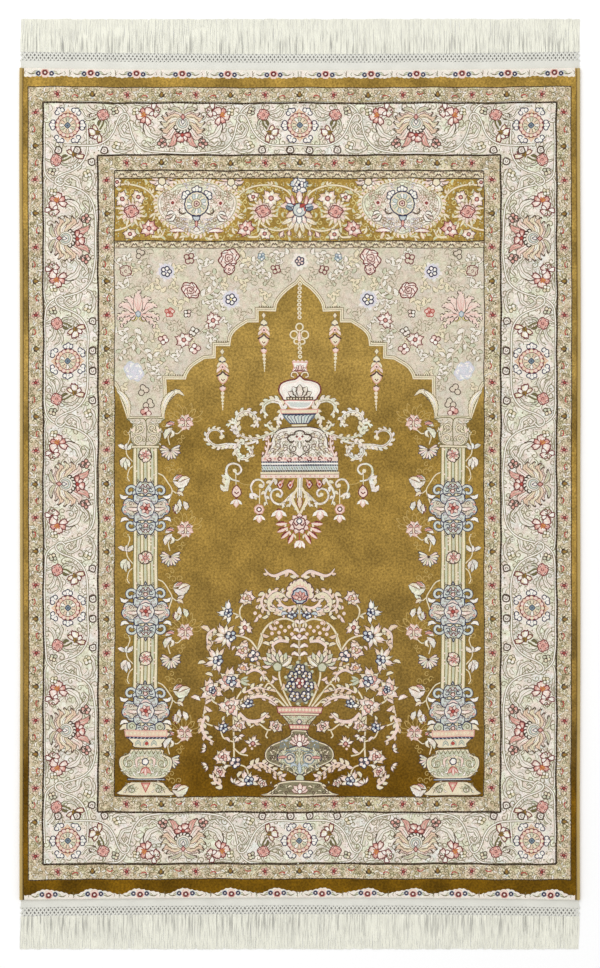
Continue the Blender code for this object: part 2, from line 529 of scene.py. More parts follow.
def weave(name, chart, box, ground="gold", lines=()):
    """Knots a box of the chart in pile: one closed slab whose faces are each of one yarn."""
    low, high = complex(box[0], box[1]), complex(box[2], box[3])
    chart = [
        (o, yarn)
        for o, yarn in chart
        if o.real.max() > low.real and o.real.min() < high.real
        and o.imag.max() > low.imag and o.imag.min() < high.imag
    ]
    names = list(YARNS)
    number = np.array([names.index(yarn) for _, yarn in chart] + [names.index(ground)])
    points, edges = [], []

    def add(run, closed):
        start = len(points)
        points.extend(run)
        edges.extend((start + k, start + k + 1) for k in range(len(run) - 1))
        if closed:
            edges.append((start + len(run) - 1, start))

    corners = [low, high.real + 1j * low.imag, high, low.real + 1j * high.imag]
    rim = []
    for a, b in zip(corners, corners[1:] + corners[:1]):
        count = max(1, round(abs(b - a) / 2.5))
        rim.extend(a + (b - a) * np.arange(count) / count)
    add(rim, True)
    for line in lines:
        add(line, False)
    frame_points, frame_edges = points[:], edges[:]
    for outline, _ in chart:
        add(outline, True)
    found, faces, middle = cut_cells(points, edges, low, high)
    seen = seen_lines(found, faces, number[yarn_of(chart, middle)])
    used, where = np.unique(seen, return_inverse=True)
    points = frame_points + list(found[used])
    edges = frame_edges + (where.reshape(-1, 2) + len(frame_points)).tolist()
    across = np.arange(low.real + 9, high.real - 4, 17)
    down = np.arange(low.imag + 9, high.imag - 4, 17)
    grid = (across[:, None] + 1j * down[None, :]).ravel()
    points.extend(grid + 0.37 * np.sin(grid.real * 3 + grid.imag))
    points, faces, middle = cut_cells(points, edges, low, high)
    dyes = np.array([[*linear(YARNS[yarn]), GROUNDS.get(yarn, 0.0)] for yarn in names])
    colour = dyes[number[yarn_of(chart, middle)]]
    used = np.unique(faces)
    places = points[used]
    faces = np.searchsorted(used, faces)
    x, y = to_rug(places)
    mesh = bpy.data.meshes.new(name)
    mesh.from_pydata(np.stack((x, y, pile_height(places)), axis=1).tolist(), [], faces.tolist())
    layer = mesh.color_attributes.new("yarn", "FLOAT_COLOR", "CORNER")
    layer.data.foreach_set("color", np.repeat(colour, 3, axis=0).ravel())
    close_slab(mesh)
    return make_object(name, mesh, pile)


def close_slab(mesh):
    """Carries the pile's rim down to the ground weave and closes it below."""
    bm = bmesh.new()
    bm.from_mesh(mesh)
    rim = [e for e in bm.edges if e.is_boundary]
    made = bmesh.ops.extrude_edge_only(bm, edges=rim)["geom"]
    for v in made:
        if isinstance(v, bmesh.types.BMVert):
            v.co.z = PILE_FOOT
    low = [e for e in made if isinstance(e, bmesh.types.BMEdge) and e.is_boundary]
    bmesh.ops.edgeloop_fill(bm, edges=low)
    bmesh.ops.recalc_face_normals(bm, faces=bm.faces)
    bm.to_mesh(mesh)
    bm.free()


# painted shade and sheen: a ramp that multiplies the gold's colour along the rug, for how light falls on
# its leaning pile; each stop gives a place and three factors
PAINTED_GOLD_SHADE = (  # how the gold's lean shades it, from the foot end to the niche's end
    (0.02, 0.46, 0.37, 0.06), (0.14, 0.47, 0.37, 0.08), (0.24, 0.70, 0.68, 0.62),
    (0.33, 0.84, 0.84, 0.82), (0.40, 0.98, 0.98, 0.94), (0.50, 1.00, 1.00, 0.94),
    (0.56, 0.80, 0.79, 0.68), (0.63, 1.16, 1.20, 1.30), (0.72, 1.08, 1.12, 1.16),
    (0.98, 1.06, 1.06, 0.94),
)


def pile_wool():
    """Short cut pile in each yarn's colour, speckled tuft by tuft. The pale grounds carry a fine
    tangle of thin lines and small leaves; the gold carries painted shade and sheen for its pile's
    lean, darker towards the foot, with lighter and darker patches that are strongest by the rim."""
    made, tree, shader, where = new_material("cut_pile", 0.85, 0.04)
    shader.inputs["Specular IOR Level"].default_value = 0.06
    yarn = node(tree, "ShaderNodeAttribute", attribute_name="yarn")
    alpha = yarn.outputs["Alpha"]
    noise, ranged, maths = node_tools(tree, where, "2D")

    def blend(factor, a, b, kind="MIX"):
        mixed = node(tree, "ShaderNodeMix", data_type="RGBA", blend_type=kind)
        for socket, value in ((0, factor), (6, a), (7, b)):
            if isinstance(value, bpy.types.NodeSocket):
                tree.links.new(value, mixed.inputs[socket])
            else:
                mixed.inputs[socket].default_value = (
                    value if socket == 0 else (*(value if max(value) < 2 else linear(value)), 1.0)
                )
        return mixed.outputs[2]

    def ramp(value, stops):
        made = node(tree, "ShaderNodeValToRGB", {0: value})
        elements = made.color_ramp.elements
        while len(elements) < len(stops):
            elements.new(0.5)
        for stop, (place, *tone) in zip(elements, stops):
            stop.position = place
            stop.color = (*tone, 1.0)
        return made.outputs[0]

    plain, wide, narrow, corner = (maths("COMPARE", alpha, code, 0.1) for code in (1.0, 0.25, 0.5, 0.75))
    ground = maths("MAXIMUM", wide, maths("MAXIMUM", narrow, corner))
    # the tangle on the pale grounds: bent cells are the leaves, the lines run round and past them
    bend = node(tree, "ShaderNodeVectorMath", {0: noise(150.0, 1.0, output="Color"), 1: (0.5, 0.5, 0.5)},
        operation="SUBTRACT").outputs[0]
    bent = node(tree, "ShaderNodeVectorMath", {0: bend, 1: (0.013, 0.013, 0.0), 2: where},
        operation="MULTIPLY_ADD").outputs[0]
    scale = ranged(narrow, 0.0, 1.0, 125.0, 185.0)
    cells = node(tree, "ShaderNodeTexVoronoi", {"Vector": bent, "Scale": scale, "Randomness": 1.0},
        feature="DISTANCE_TO_EDGE", voronoi_dimensions="2D")
    tints = node(tree, "ShaderNodeTexVoronoi", {"Vector": bent, "Scale": scale, "Randomness": 1.0},
        voronoi_dimensions="2D")
    edge = ranged(cells.outputs[0], 0.06, 0.11, 0.8, 0.0)
    edge = maths("MULTIPLY", edge, ranged(noise(210.0, 1.0), 0.44, 0.54, 0.0, 1.0))
    curl = maths("ABSOLUTE", maths("SUBTRACT", noise(120.0, 0.5, bent), 0.5), 0.0)
    curl = ranged(curl, 0.010, 0.020, 0.8, 0.0)
    line = maths("MULTIPLY", maths("MAXIMUM", edge, curl), ground)
    leaf = node(tree, "ShaderNodeSeparateColor", {0: tints.outputs["Color"]}).outputs[0]
    leaf = maths("MULTIPLY", ranged(leaf, 0.55, 0.62, 0.0, 0.85), ground)
    leaf_tone = blend(narrow, blend(corner, (246, 242, 232), (232, 225, 204)), (232, 220, 192))
    line_tone = blend(narrow, blend(corner, (142, 128, 98), (146, 134, 100)), (112, 92, 64))
    leaf = maths("MULTIPLY", leaf, ranged(corner, 0.0, 1.0, 1.0, 0.4))
    dyed = blend(leaf, yarn.outputs["Color"], leaf_tone)
    dyed = blend(maths("MULTIPLY", line, ranged(narrow, 0.0, 1.0, 0.46, 0.8)), dyed, line_tone)
    shades = ramp(noise(34.0, 1.0), ((0.34, 0.94, 1.0, 0.90), (0.44, 1.0, 1.0, 0.97),
        (0.52, 1.02, 0.98, 0.97), (0.60, 1.0, 0.96, 1.0), (0.68, 0.95, 0.985, 1.02)))
    dyed = blend(maths("MAXIMUM", wide, maths("MULTIPLY", ground, 0.6)), dyed, shades, "MULTIPLY")
    # dark lines are broken by the knots, and each tuft is a little lighter or darker
    grain = noise(900.0, 3.0)
    bright = node(tree, "ShaderNodeRGBToBW", {0: yarn.outputs["Color"]}).outputs[0]
    dark = maths("MULTIPLY", ranged(bright, 0.03, 0.20, 1.0, 0.0), maths("SUBTRACT", 1.0, plain))
    gaps = maths("MULTIPLY", dark, ranged(noise(560.0, 1.0), 0.52, 0.62, 0.0, 0.30))
    dyed = blend(gaps, dyed, (0.42, 0.34, 0.25))
    hues = ramp(noise(170.0, 2.0), ((0.35, 1.02, 0.97, 0.97), (0.65, 0.97, 1.0, 0.97)))
    dyed = blend(maths("SUBTRACT", 1.0, plain), dyed, hues, "MULTIPLY")
    # the gold's painted shade and sheen along its length, darkest towards the foot
    y = node(tree, "ShaderNodeSeparateXYZ", {0: where}).outputs[1]
    y = maths("ADD", y, ranged(noise(9.0, 2.0), 0.3, 0.7, -0.02, 0.02))
    dyed = blend(plain, dyed, ramp(ranged(y, -0.6, 0.6, 0.0, 1.0), PAINTED_GOLD_SHADE), "MULTIPLY")
    fleck = ranged(noise(95.0, 4.0), 0.3, 0.7, 0.95, 1.07)
    tone = maths("MULTIPLY", ranged(grain, 0.3, 0.7, 0.82, 1.18), fleck)
    # the tufts' fine grain times broad painted sheen and shade patches on the gold
    grain_and_sheen = maths("MULTIPLY", ranged(noise(330.0, 4.0), 0.3, 0.7, 0.70, 1.28),
        ranged(noise(26.0, 3.0), 0.3, 0.7, 0.82, 1.18))
    # painted sheen and shade: stronger lighter and darker patches on the gold near its outer rim
    sides = node(tree, "ShaderNodeSeparateXYZ", {0: where}).outputs
    rim = maths("MAXIMUM", ranged(maths("ABSOLUTE", sides[0], 0.0), 0.36, 0.385, 0.0, 1.0),
        ranged(maths("ABSOLUTE", sides[1], 0.0), 0.55, 0.565, 0.0, 1.0))
    painted_sheen_patches = maths("SUBTRACT", ranged(noise(14.0, 2.0), 0.38, 0.62, 0.74, 1.26), 1.0)
    grain_and_sheen = maths("MULTIPLY", grain_and_sheen, maths("MULTIPLY_ADD", rim, painted_sheen_patches, 1.0))
    grain_and_sheen = maths("ADD", 1.0, maths("MULTIPLY", plain, maths("SUBTRACT", grain_and_sheen, 1.0)))
    tone = maths("MULTIPLY", tone, grain_and_sheen)
    dyed = node(tree, "ShaderNodeVectorMath", {0: dyed, "Scale": tone}, operation="SCALE")
    tree.links.new(dyed.outputs[0], shader.inputs["Base Color"])
    tufts = node(tree, "ShaderNodeTexVoronoi", {"Vector": where, "Scale": 820.0, "Randomness": 0.6},
        voronoi_dimensions="2D")
    bump = node(
        tree, "ShaderNodeBump",
        {"Height": maths("SUBTRACT", grain, tufts.outputs["Distance"]), "Strength": 0.7,
         "Distance": 0.0007},
    )
    tree.links.new(bump.outputs[0], shader.inputs["Normal"])
    return made


pile = pile_wool()


def flower_row(chart, y, up):
    """A woven row of small flowers; up is -1 where the flowers' heads point to the fringe."""
    pen = Pen(chart)
    wave = [x + 1j * (y + up * 3.9 + 0.7 * math.sin(x * 0.27) + 0.5 * math.sin(x * 1.3))
        for x in np.arange(24.2, 301, 1.6)]
    edge = [300 + 1j * (y - up * 7), 24.2 + 1j * (y - up * 7)]
    if up < 0:
        wave = [z + 1j * (0.6 - 2.6 * math.cos((z.real - 48.6) * 2 * math.pi / 46)) for z in wave]
    pen.fill(wave + edge, "pearl")
    for k in range(6):
        middle = pen.at((45 if up > 0 else 48.6) + 45.7 * k + 1j * y)
        middle.line([24.6-3j, 24.8+3j], 0.6, "olive")
        for side in (-1, 1):
            middle.leaf([side * 5, side * 9-0.6j, side * 13+0.8j], 2, "sage", "olive", 0.5)
            middle.leaf([side * 10+1j, side * 14+1.6j, side * 18-0.4j], 1.2, "olive")
            middle.stroke([side * 19-1.5j, side * 20.5+0.2j, side * 19.5+2j], 0.5, "olive")
            middle.shape(lobed(5, 2.6, 0.5), "sky")
            bloom = middle.at(side * 6.6 + up * 0.9j)
            bloom.shape(lobed(5, 3.2, 0.8), "sky")
            bloom.shape(lobed(4, 1.7, 0.3), "pearl", "navy", 1.6)
        middle.shape(lobed(6, 4.6, 1) + up * 0.8j, "rose")
        middle.shape(lobed(6, 4, 0.9) + up * 1.4j, "blush")
        middle.shape(lobed(5, 2.1, 0.4), "pearl", "wine", 1.8)


edge_chart = []
flower_row(edge_chart, 72.2, 1)
flower_row(edge_chart, 895.6, -1)
edge_chart = mirrored(edge_chart)


def rim_lines(low, high):
    """Lines close to the pile's outer rim, which let it round over there."""
    lines = []
    for off in (0.25, 0.6, 1.05, 1.6, 2.4):
        x0, y0, x1, y1 = (edge + way * off for edge, way in zip(PILE_BOX, (1, 1, -1, -1)))
        down = np.arange(y0, y1, 4)
        across = np.arange(x0, x1, 4)
        for run in (x0 + 1j * down, x1 + 1j * down, across + 1j * y0, across + 1j * y1):
            kept = (run.real > low.real + 0.05) & (run.real < high.real - 0.05)
            kept &= (run.imag > low.imag + 0.05) & (run.imag < high.imag - 0.05)
            if kept.sum() > 1:
                lines.append(run[kept])
    return lines


def frame_boxes(name, outer, inner):
    """A frame's four boxes: its ends over the whole width, and its sides between them."""
    (x0, y0, x1, y1), (u0, v0, u1, v1) = outer, inner
    return (
        (name + "_arch_end", (x0, y0, x1, v0)), (name + "_foot_end", (x0, v1, x1, y1)),
        (name + "_left", (x0, v0, u0, v1)), (name + "_right", (u1, v0, x1, v1)),
    )


pile_pieces = [
    weave(name, edge_chart, box, "gold", rim_lines(complex(*box[:2]), complex(*box[2:])))
    for name, box in frame_boxes("gold_edge", PILE_BOX, BAND_LINES[0])
]

# ---------------------------------------------------------------------------------------------
# The borders: a wide near-white border of rosettes, lotus heads and vines between two narrow sand
# ones, knotted in the same pile and parted by dark lines.
# ---------------------------------------------------------------------------------------------
def dark_line(pen, start, end, width=1.9):
    """A dark line that is a little thick and thin from knot to knot."""
    count = int(abs(end - start) / 1.5)
    line = start + (end - start) * np.arange(count + 1) / count
    pen.fill(band(line, width + 0.38 * np.sin(line.real * 2.1 + line.imag * 2.3)), "soot")


def coil(centre, radius, start, turns, tail=0.25):
    """Points that wind inwards round a centre; start is in degrees, turns may be negative."""
    t = np.linspace(0, 1, 4 + int(abs(turns) * 7))
    reach = radius * (1 - (1 - tail) * t)
    return list(centre + reach * np.exp(1j * (math.radians(start) + 2 * np.pi * turns * t)))


def curls(pen, box, spacing, size, line, leaf, seed, width=0.8):
    """Fine curls, outlined leaves and dots strewn over a box."""
    chance = random.Random(seed)
    x0, y0, x1, y1 = box
    rows, columns = (max(1, round(d / spacing)) for d in (y1 - y0, x1 - x0))
    for place in range(rows * columns):
        x = x0 + (place % columns + chance.uniform(0.2, 0.8)) * (x1 - x0) / columns
        y = y0 + (place // columns + chance.uniform(0.2, 0.8)) * (y1 - y0) / rows
        mark = pen.at(x + 1j * y, chance.uniform(0, 360), size * chance.uniform(0.8, 1.2),
            chance.random() < 0.5)
        kind = chance.random()
        if kind < 0.45:
            run = coil(0j, 3, 0, -0.95, 0.3)
            mark.line([2.2+4.2j, 3.2+2j, *run], width, line)
            if kind < 0.25:
                mark.leaf([3-0.8j, 4.6-2.6j, 4.4-5j], 1.7, leaf, line, width * 0.7)
        elif kind < 0.8:
            mark.leaf([-3.4+0.6j, -0.4-0.8j, 3.4+0.8j], 2.6, leaf, line, width * 0.75)
            mark.line([3+0.8j, 4+2.4j, 2.6+3.4j], width, line)
        else:
            for spot in (-1.6+0.4j, 1.4-0.9j, 0.8+2j):
                mark.fill(lobed(3, 0.8, 0, 2) + spot, line if spot.real > 1 else leaf)


def rose(pen, radius, fill, line, width):
    """A full-blown rose: folded petals round a curl, drawn by fine dark lines."""
    if radius < 5.6:
        return cluster(pen, 1.1 * radius, 4, fill, line, width)
    folds = 6 if radius > 7 else 4
    outline = lobed(folds, radius, 0.15 * radius, 6, 0.4)
    pen.shape(outline.real * 1.1 + 0.93j * outline.imag + 0.1 * radius * np.sin(outline.real), fill, line,
        width)
    for k in range(folds):
        turn = radius * np.exp(1j * (2 * np.pi * k / folds + 0.1))
        pen.leaf([0.5 * turn, 0.76 * turn * np.exp(0.3j), 0.8 * turn * np.exp(0.75j)], 0.3 * radius,
            LIGHTER.get(fill, fill))
        pen.stroke([turn, 0.74 * turn * np.exp(0.3j), 0.6 * turn * np.exp(0.9j)], 0.75 * width, line)
    if radius > 7:
        pen.shape(lobed(4, 0.46 * radius, 0.1 * radius, 4), fill, line, 0.75 * width)
    pen.line(coil(0j, 0.28 * radius, 40, 0.9, 0.4), 0.75 * width, line)


def notched_leaf(pen, reach, width, fill, line="olive", rim=0.7):
    """A pale leaf edged in a darker yarn, with a small one springing from each side."""
    for side in (-1, 1):
        pen.leaf(
            [0.2 * reach, (0.38 + side * 0.34j) * reach, (0.66 + side * 0.46j) * reach],
            0.5 * width, fill, line, rim,
        )
    pen.leaf([0j, (0.5+0.1j) * reach, reach], 0.8 * width, fill, line, rim)


def wild_flower(pen, radius, petals, spread, fills, edge, heart, rim=0.9, sharp=False):
    """A flower of notched, pointed petals, not all alike, round a small dark-edged heart."""
    step = spread / petals if spread >= 360 else spread / (petals - 1)
    wide = 1.1 * math.tan(math.radians(min(step, 60) / 2))
    shape = [0.1, 0.3 + 0.36j * wide, 0.6 + 0.62j * wide, 0.84 + 0.62j * wide, 1.02 + 0.34j * wide, 0.92]
    if sharp:
        shape = [0.1, 0.26 + 0.3j * wide, 0.5 + 0.62j * wide, 0.74 + 0.58j * wide, 0.88 + 0.24j * wide,
            1.1+0.1j]
    shape = np.array(shape)
    shape = np.concatenate((shape, np.conj(shape[-2:0:-1]) * 0.93-0.03j))
    rays = []
    for k in range(petals):
        lean = step * k if spread >= 360 else step * (k - (petals - 1) / 2)
        rays.append(pen.at(0j, lean + 7 * (k % 3 - 1), (1, 0.84, 0.93)[k % 3]))
    for ray in rays:
        ray.fill(grown(shape * radius, 0.55 * rim), edge)
    petal = grown(shape * radius, -0.45 * rim)
    for k, ray in enumerate(rays):
        fill = fills[k % len(fills)]
        ray.fill(petal, fill)
        ray.fill(petal[1:-1] * 0.6 + 0.1 * radius, LIGHTER.get(fill, "snow"))
    if heart:
        fill = {"navy": "sky", "wine": "rose"}.get(heart, "peach")
        pen.shape(lobed(4, 0.17 * radius + 0.7, 0.4, 3), fill, heart, 1)


def cluster(pen, radius, petals, fill, edge, rim):
    """A small flower of round petals that part, each edged in a dark yarn."""
    spots = [
        (0.62 + 0.08 * (k % 2)) * radius * np.exp(2j * np.pi * (k + 0.12 * (k % 3)) / petals)
        for k in range(petals)
    ]
    reach = 0.9 * radius * math.sin(math.pi / petals) * 0.86
    for spot in spots:
        pen.fill(lobed(3, reach + 0.5 * rim, 0.12 * radius, 3) + spot, edge)
    for k, spot in enumerate(spots):
        petal = lobed(3, reach - 0.5 * rim, 0.12 * radius, 3) + spot * 0.98
        pen.fill(petal, fill if k % 3 else LIGHTER.get(fill, fill))
    pen.fill(lobed(3, 0.16 * radius, 0, 2), edge)


def leaf_halo(pen, radius, count, fill, edge, width):
    """Pointed leaves all round, behind a flower."""
    for k in range(count):
        reach = radius * (1 if k % 2 else 0.82)
        pen.at(0j, 360 / count * k).leaf([0.3 * radius, 0.7 * reach + 0.6j, reach], width, fill, edge, 0.5)


def red_spot(pen):
    """The small red rosette of the narrow borders, on a peach glow."""
    pen.fill(lobed(7, 5.4, 1.4), "shell")
    for side in (-1, 1):
        pen.leaf([side * 2.6j, 1 + side * 4.8j, -0.5 + side * 7.6j], 2.2, "cream", "tan", 0.6)
    for k in range(5):
        pen.at(0j, 72 * k + 20).leaf([0.6, 2.2, 4.4], 2.2, "peach" if k % 2 else "rose", "umber", 0.8)
    pen.shape(lobed(4, 1.5, 0.4, 3), "brick", "wine", 1.1)


def small_palmette(pen):
    """The small ochre flower of the narrow borders with its dark sides; +x points outwards."""
    for angle, reach in ((-74, 6.2), (74, 6.2), (-36, 6.6), (36, 6.6), (-128, 4.8), (128, 4.8)):
        pen.at(-1, angle).leaf([0j, 0.55 * reach + 0.5j, reach], 2.4, "cream", "moss", 0.7)
    for side in (-1, 1):
        pen.leaf([-2.6, -1.2 + side * 2.4j, 1.8 + side * 2.6j], 1.7, "soot" if side > 0 else "moss")
    pen.shape([-2.4, -0.2-2j, 2.2-1.2j, 3.4, 2.2+1.2j, -0.2+2j], "ochre", "umber", 0.8)
    pen.line([-3.4-1.6j, -3.8, -3.4+1.6j], 1.2, "sky")


def crescent_bud(pen):
    """A small curled bud drawn in dark red and brown."""
    pen.leaf([-2.6+1.2j, 0.4+2.6j, 2.8+0.8j], 2, "cream", "tan", 0.6)
    pen.stroke([-3-0.6j, -1.2-2j, 1.6-1.6j, 2.8+0.2j], 1.5, "brick", 0.7)
    pen.stroke([-3.2-0.2j, -2.6+0.9j, -1.4+0.4j], 1.1, "umber")
    pen.stroke([2.8-1.2j, 4.6-0.2j, 4.2+1.8j, 2.6+2.6j], 0.8, "moss")


def narrow_border(chart, first, last, pitch):
    """Half a side of a narrow border, from its middle palmette out to the corner."""
    reach = abs(last - first)
    ahead = (last - first) / reach
    for k in range(int((reach - 8) / pitch) + 1):
        here = Pen(chart, first + ahead * pitch * k, ahead * 1j)
        (red_spot if k % 2 else small_palmette)(here)
        if (k + 0.5) * pitch < reach - 6:
            lean = 2.4 if k % 2 else -2.4
            crescent_bud(Pen(chart, first + ahead * (pitch * (k + 0.5) + 1j * lean), ahead, k % 2 == 0))


def cup(pen, size=1):
    """Three pale round petals side by side, edged in blue, that open outwards."""
    here = pen.at(0j, size=size)
    petals = [lobed(3, 2, 0.25, 4, 0.5) + spot for spot in (-3.2j - 0.8, 3.2j - 0.8, 0.9)]
    for petal in petals:
        here.fill(grown(petal, 1.1), "navy")
    for petal in petals:
        here.fill(petal, "snow")
    here.fill(lobed(3, 1.3, 0.1, 4) - 1.9, "snow")
    for side in (-1, 1):
        here.stroke([-2.8 + side * 1.8j, -0.9 + side * 1.2j, 0.2 + side * 1.9j], 0.6, "steel")


def big_rosette(pen):
    """A rosette with a red scalloped ring, cream petals, a small blue heart and six cups."""
    pen.fill(lobed(12, 18.5, 2.6), "pearl")
    for angle in (0, 60, 120, 180, 240, 300):
        pen.at(0j, angle + 30).leaf([11, 15+1j, 19.5], 2.4, "blush", "shell", 0.6)
    for angle in (0, 180):
        for lean in (-16, 16, 0):
            pen.at(0j, angle + lean).leaf([10, 13.4, 16.8 - abs(lean) / 8], 3, "peach", "orange", 0.5)
    for angle in (90, 270, 31, 149, 211, 329):
        cup(pen.at((15.4 if angle % 180 == 90 else 16.8) * np.exp(1j * math.radians(angle)), angle), 0.9)
    pen.fill(lobed(16, 12.8, 0.9), "wine")
    pen.fill(lobed(16, 11.7, 1.3), "rose")
    for k in range(16):
        ray = pen.at(10.3 * np.exp(2j * np.pi * k / 16), 22.5 * k)
        ray.fill(lobed(3, 1.7, 0.1, 3), ("cream", "blush", "peach", "blush")[k % 4])
    pen.fill(lobed(12, 9, 0.5), "wine")
    pen.fill(lobed(12, 8.4, 0.5), "cream")
    for k in range(12):
        ray = pen.at(0j, 30 * k)
        ray.leaf([3, 6, 8.4], 2.8, ("peach", "cream", "sage", "snow")[k % 4], "umber", 0.6)
    pen.fill(lobed(6, 3.9, 0.4), "cream")
    star = np.array([-4.2, -2.4-2.4j, -4.2j, 2.4-2.4j, 4.2, 2.4+2.4j, 4.2j, -2.4+2.4j])
    pen.fill(star * 0.86, "navy")
    pen.fill([-2.8, -2.8j, 2.8, 2.8j], "steel")
    pen.fill([-1, -1j, 1, 1j], "navy")


def bud(pen, size=1, fill="blush", edge="wine"):
    """A closed flower that points to +x, between two small leaves."""
    here = pen.at(0j, size=size)
    for side in (-1, 1):
        here.leaf([-1.6, 0.4 + side * 1.5j, 2.6 + side * 2.1j], 1.6, "cream", "olive", 0.6)
    here.leaf([-1.4, 1.2, 4.6], 2.8, fill, edge, 1)


def vine(pen, points, width=2.7):
    """A vine woven as two fine lines with a light one between."""
    pen.cased(points, width, "lichen", width - 1.5, "snow")


def curled_leaf(pen, points, width, lobes):
    """An acanthus leaf: it follows the points, narrows to its tip and is notched on both sides."""
    line = smooth(points, 1.1)
    t = np.linspace(0, 1, len(line))
    along = np.gradient(line)
    side = 1j * along / np.maximum(np.abs(along), 1e-9)
    body = width * (1 - t) ** 0.7 + 0.5
    notch = width * (1 - 0.7 * t)
    outer = notch * 0.62 * np.abs(np.sin(np.pi * lobes * t)) ** 0.7
    inner = notch * 0.34 * np.abs(np.sin(np.pi * (lobes * t + 0.4))) ** 0.9
    rim = 0.9
    for grow, yarn in ((rim * 0.6, "lichen"), (-rim * 0.4, "pearl")):
        edges = (line + side * (body / 2 + outer + grow), line - side * (body / 2 + inner + grow))
        pen.fill(np.concatenate((edges[0], edges[1][::-1])), yarn)
    pen.fill(band(line[: int(len(line) * 0.75)], 0.5), "lichen")


def scroll(pen, points, width, count, reach, fill, edge, way, end, tints=(), rim=0.7):
    """An acanthus scroll: a body along the points that swells and narrows, with hooked leaf tips on
    both sides or, where way is given, on one."""
    line = smooth(points, 1.1)
    t = np.linspace(0, 1, len(line))
    along = np.gradient(line)
    along = along / np.maximum(np.abs(along), 1e-9)
    body = 0.78 * width * np.interp(t, [0, 0.3, 0.65, 1], [0.6, 1, 0.85, end])
    if count:
        count = min(count, max(2, int(np.abs(np.diff(line)).sum() / ((0.74 if way else 0.44) * reach))))
    tips = []
    for k in range(count):
        n = min(int((k + 0.4) / count * len(line)), len(line) - 1)
        out = (-way or (1 if k % 2 else -1)) * 1j * along[n]
        size = reach * (1 - 0.3 * t[n])
        tips.append((size, smooth([line[n] - 0.3 * size * along[n],
            line[n] + size * (0.56 * out + 0.06 * along[n]), line[n] + size * (0.9 * out + 0.6 * along[n])],
            1.2)))
    for grow, yarn in ((rim, edge), (0, fill)):
        for k, (size, tip) in enumerate(tips):
            tint = tints[k % len(tints)] if tints else fill
            pen.fill(band(tip, leafy(tip, 0.66 * size + grow, 0.8) + grow), yarn if grow else tint)
        pen.fill(band(line, body + grow), yarn)


def lotus(pen):
    """A lotus head of curling peach flames round a shell with a dark scalloped lip; it points to +x."""
    for flip in (False, True):
        half = pen.at(0j, flip=flip)
        for points, width, fill in (
            (((-6, 0.6), (-8, 6), (-7, 12), (-9, 17)), 3.8, "blush"),
            (((-5, 2), (-6, 8), (-3, 15), (-6, 21)), 4.2, "peach"),
            (((-3, 4), (-2, 10), (3, 16), (0, 22.4)), 4.4, "cream"),
            (((0, 6), (4, 11), (9, 16), (7, 22)), 4.4, "peach"),
            (((4, 7), (10, 10), (15, 14), (15, 20)), 4.2, "blush"),
            (((8, 5.6), (15, 7), (21, 9.4), (25, 14)), 4, "rose"),
            (((-9, 1), (-12, 4), (-14, 9), (-13, 14)), 2.8, "sage"),
        ):
            run = run_of(*points)
            half.leaf(run, 1.35 * width, fill, "taupe", 0.9, "tan", skew=0.85)
            tip = run[-1]
            hook = (tip - run[-2]) / abs(tip - run[-2])
            half.stroke([tip - 3 * hook - 1.4j * hook, tip + 0.4 * hook, tip + 1.5j * hook - 0.8 * hook],
                1.2, "umber")
            half.stroke(run[:3], 0.5, "tan")
        cluster(half.at(21+20j), 4.6, 5, "rose", "umber", 1.1)
        half.line([17+17j, 20+19j], 1, "umber")
    for lean in (-64, -38, -13, 13, 38, 64):
        pen.at(2, lean).shape(lobed(3, 2.3, 0.3) + 7.4, "pearl", "soot", 1.3)
    for radius, fill in ((7, "pearl"), (5.2, "mist"), (3.4, "pearl")):
        pen.shape(lobed(8, radius, 0.5) + radius / 5, fill, "lichen", 0.7)
    pen.shape([-3.4, -0.4-1.7j, 2.4, -0.4+1.7j], "snow", "navy", 0.7)
    pen.shape([-8.4, -5.4-2.2j, -2.6, -5.4+2.2j], "rose", "wine", 0.9)
    wild_flower(pen.at(12.4), 8.6, 5, 160, ("rose", "blush"), "wine", None, 1.2)
    pen.shape(lobed(3, 1.9, 0.4) + 12.8, "brick", "wine", 0.8)


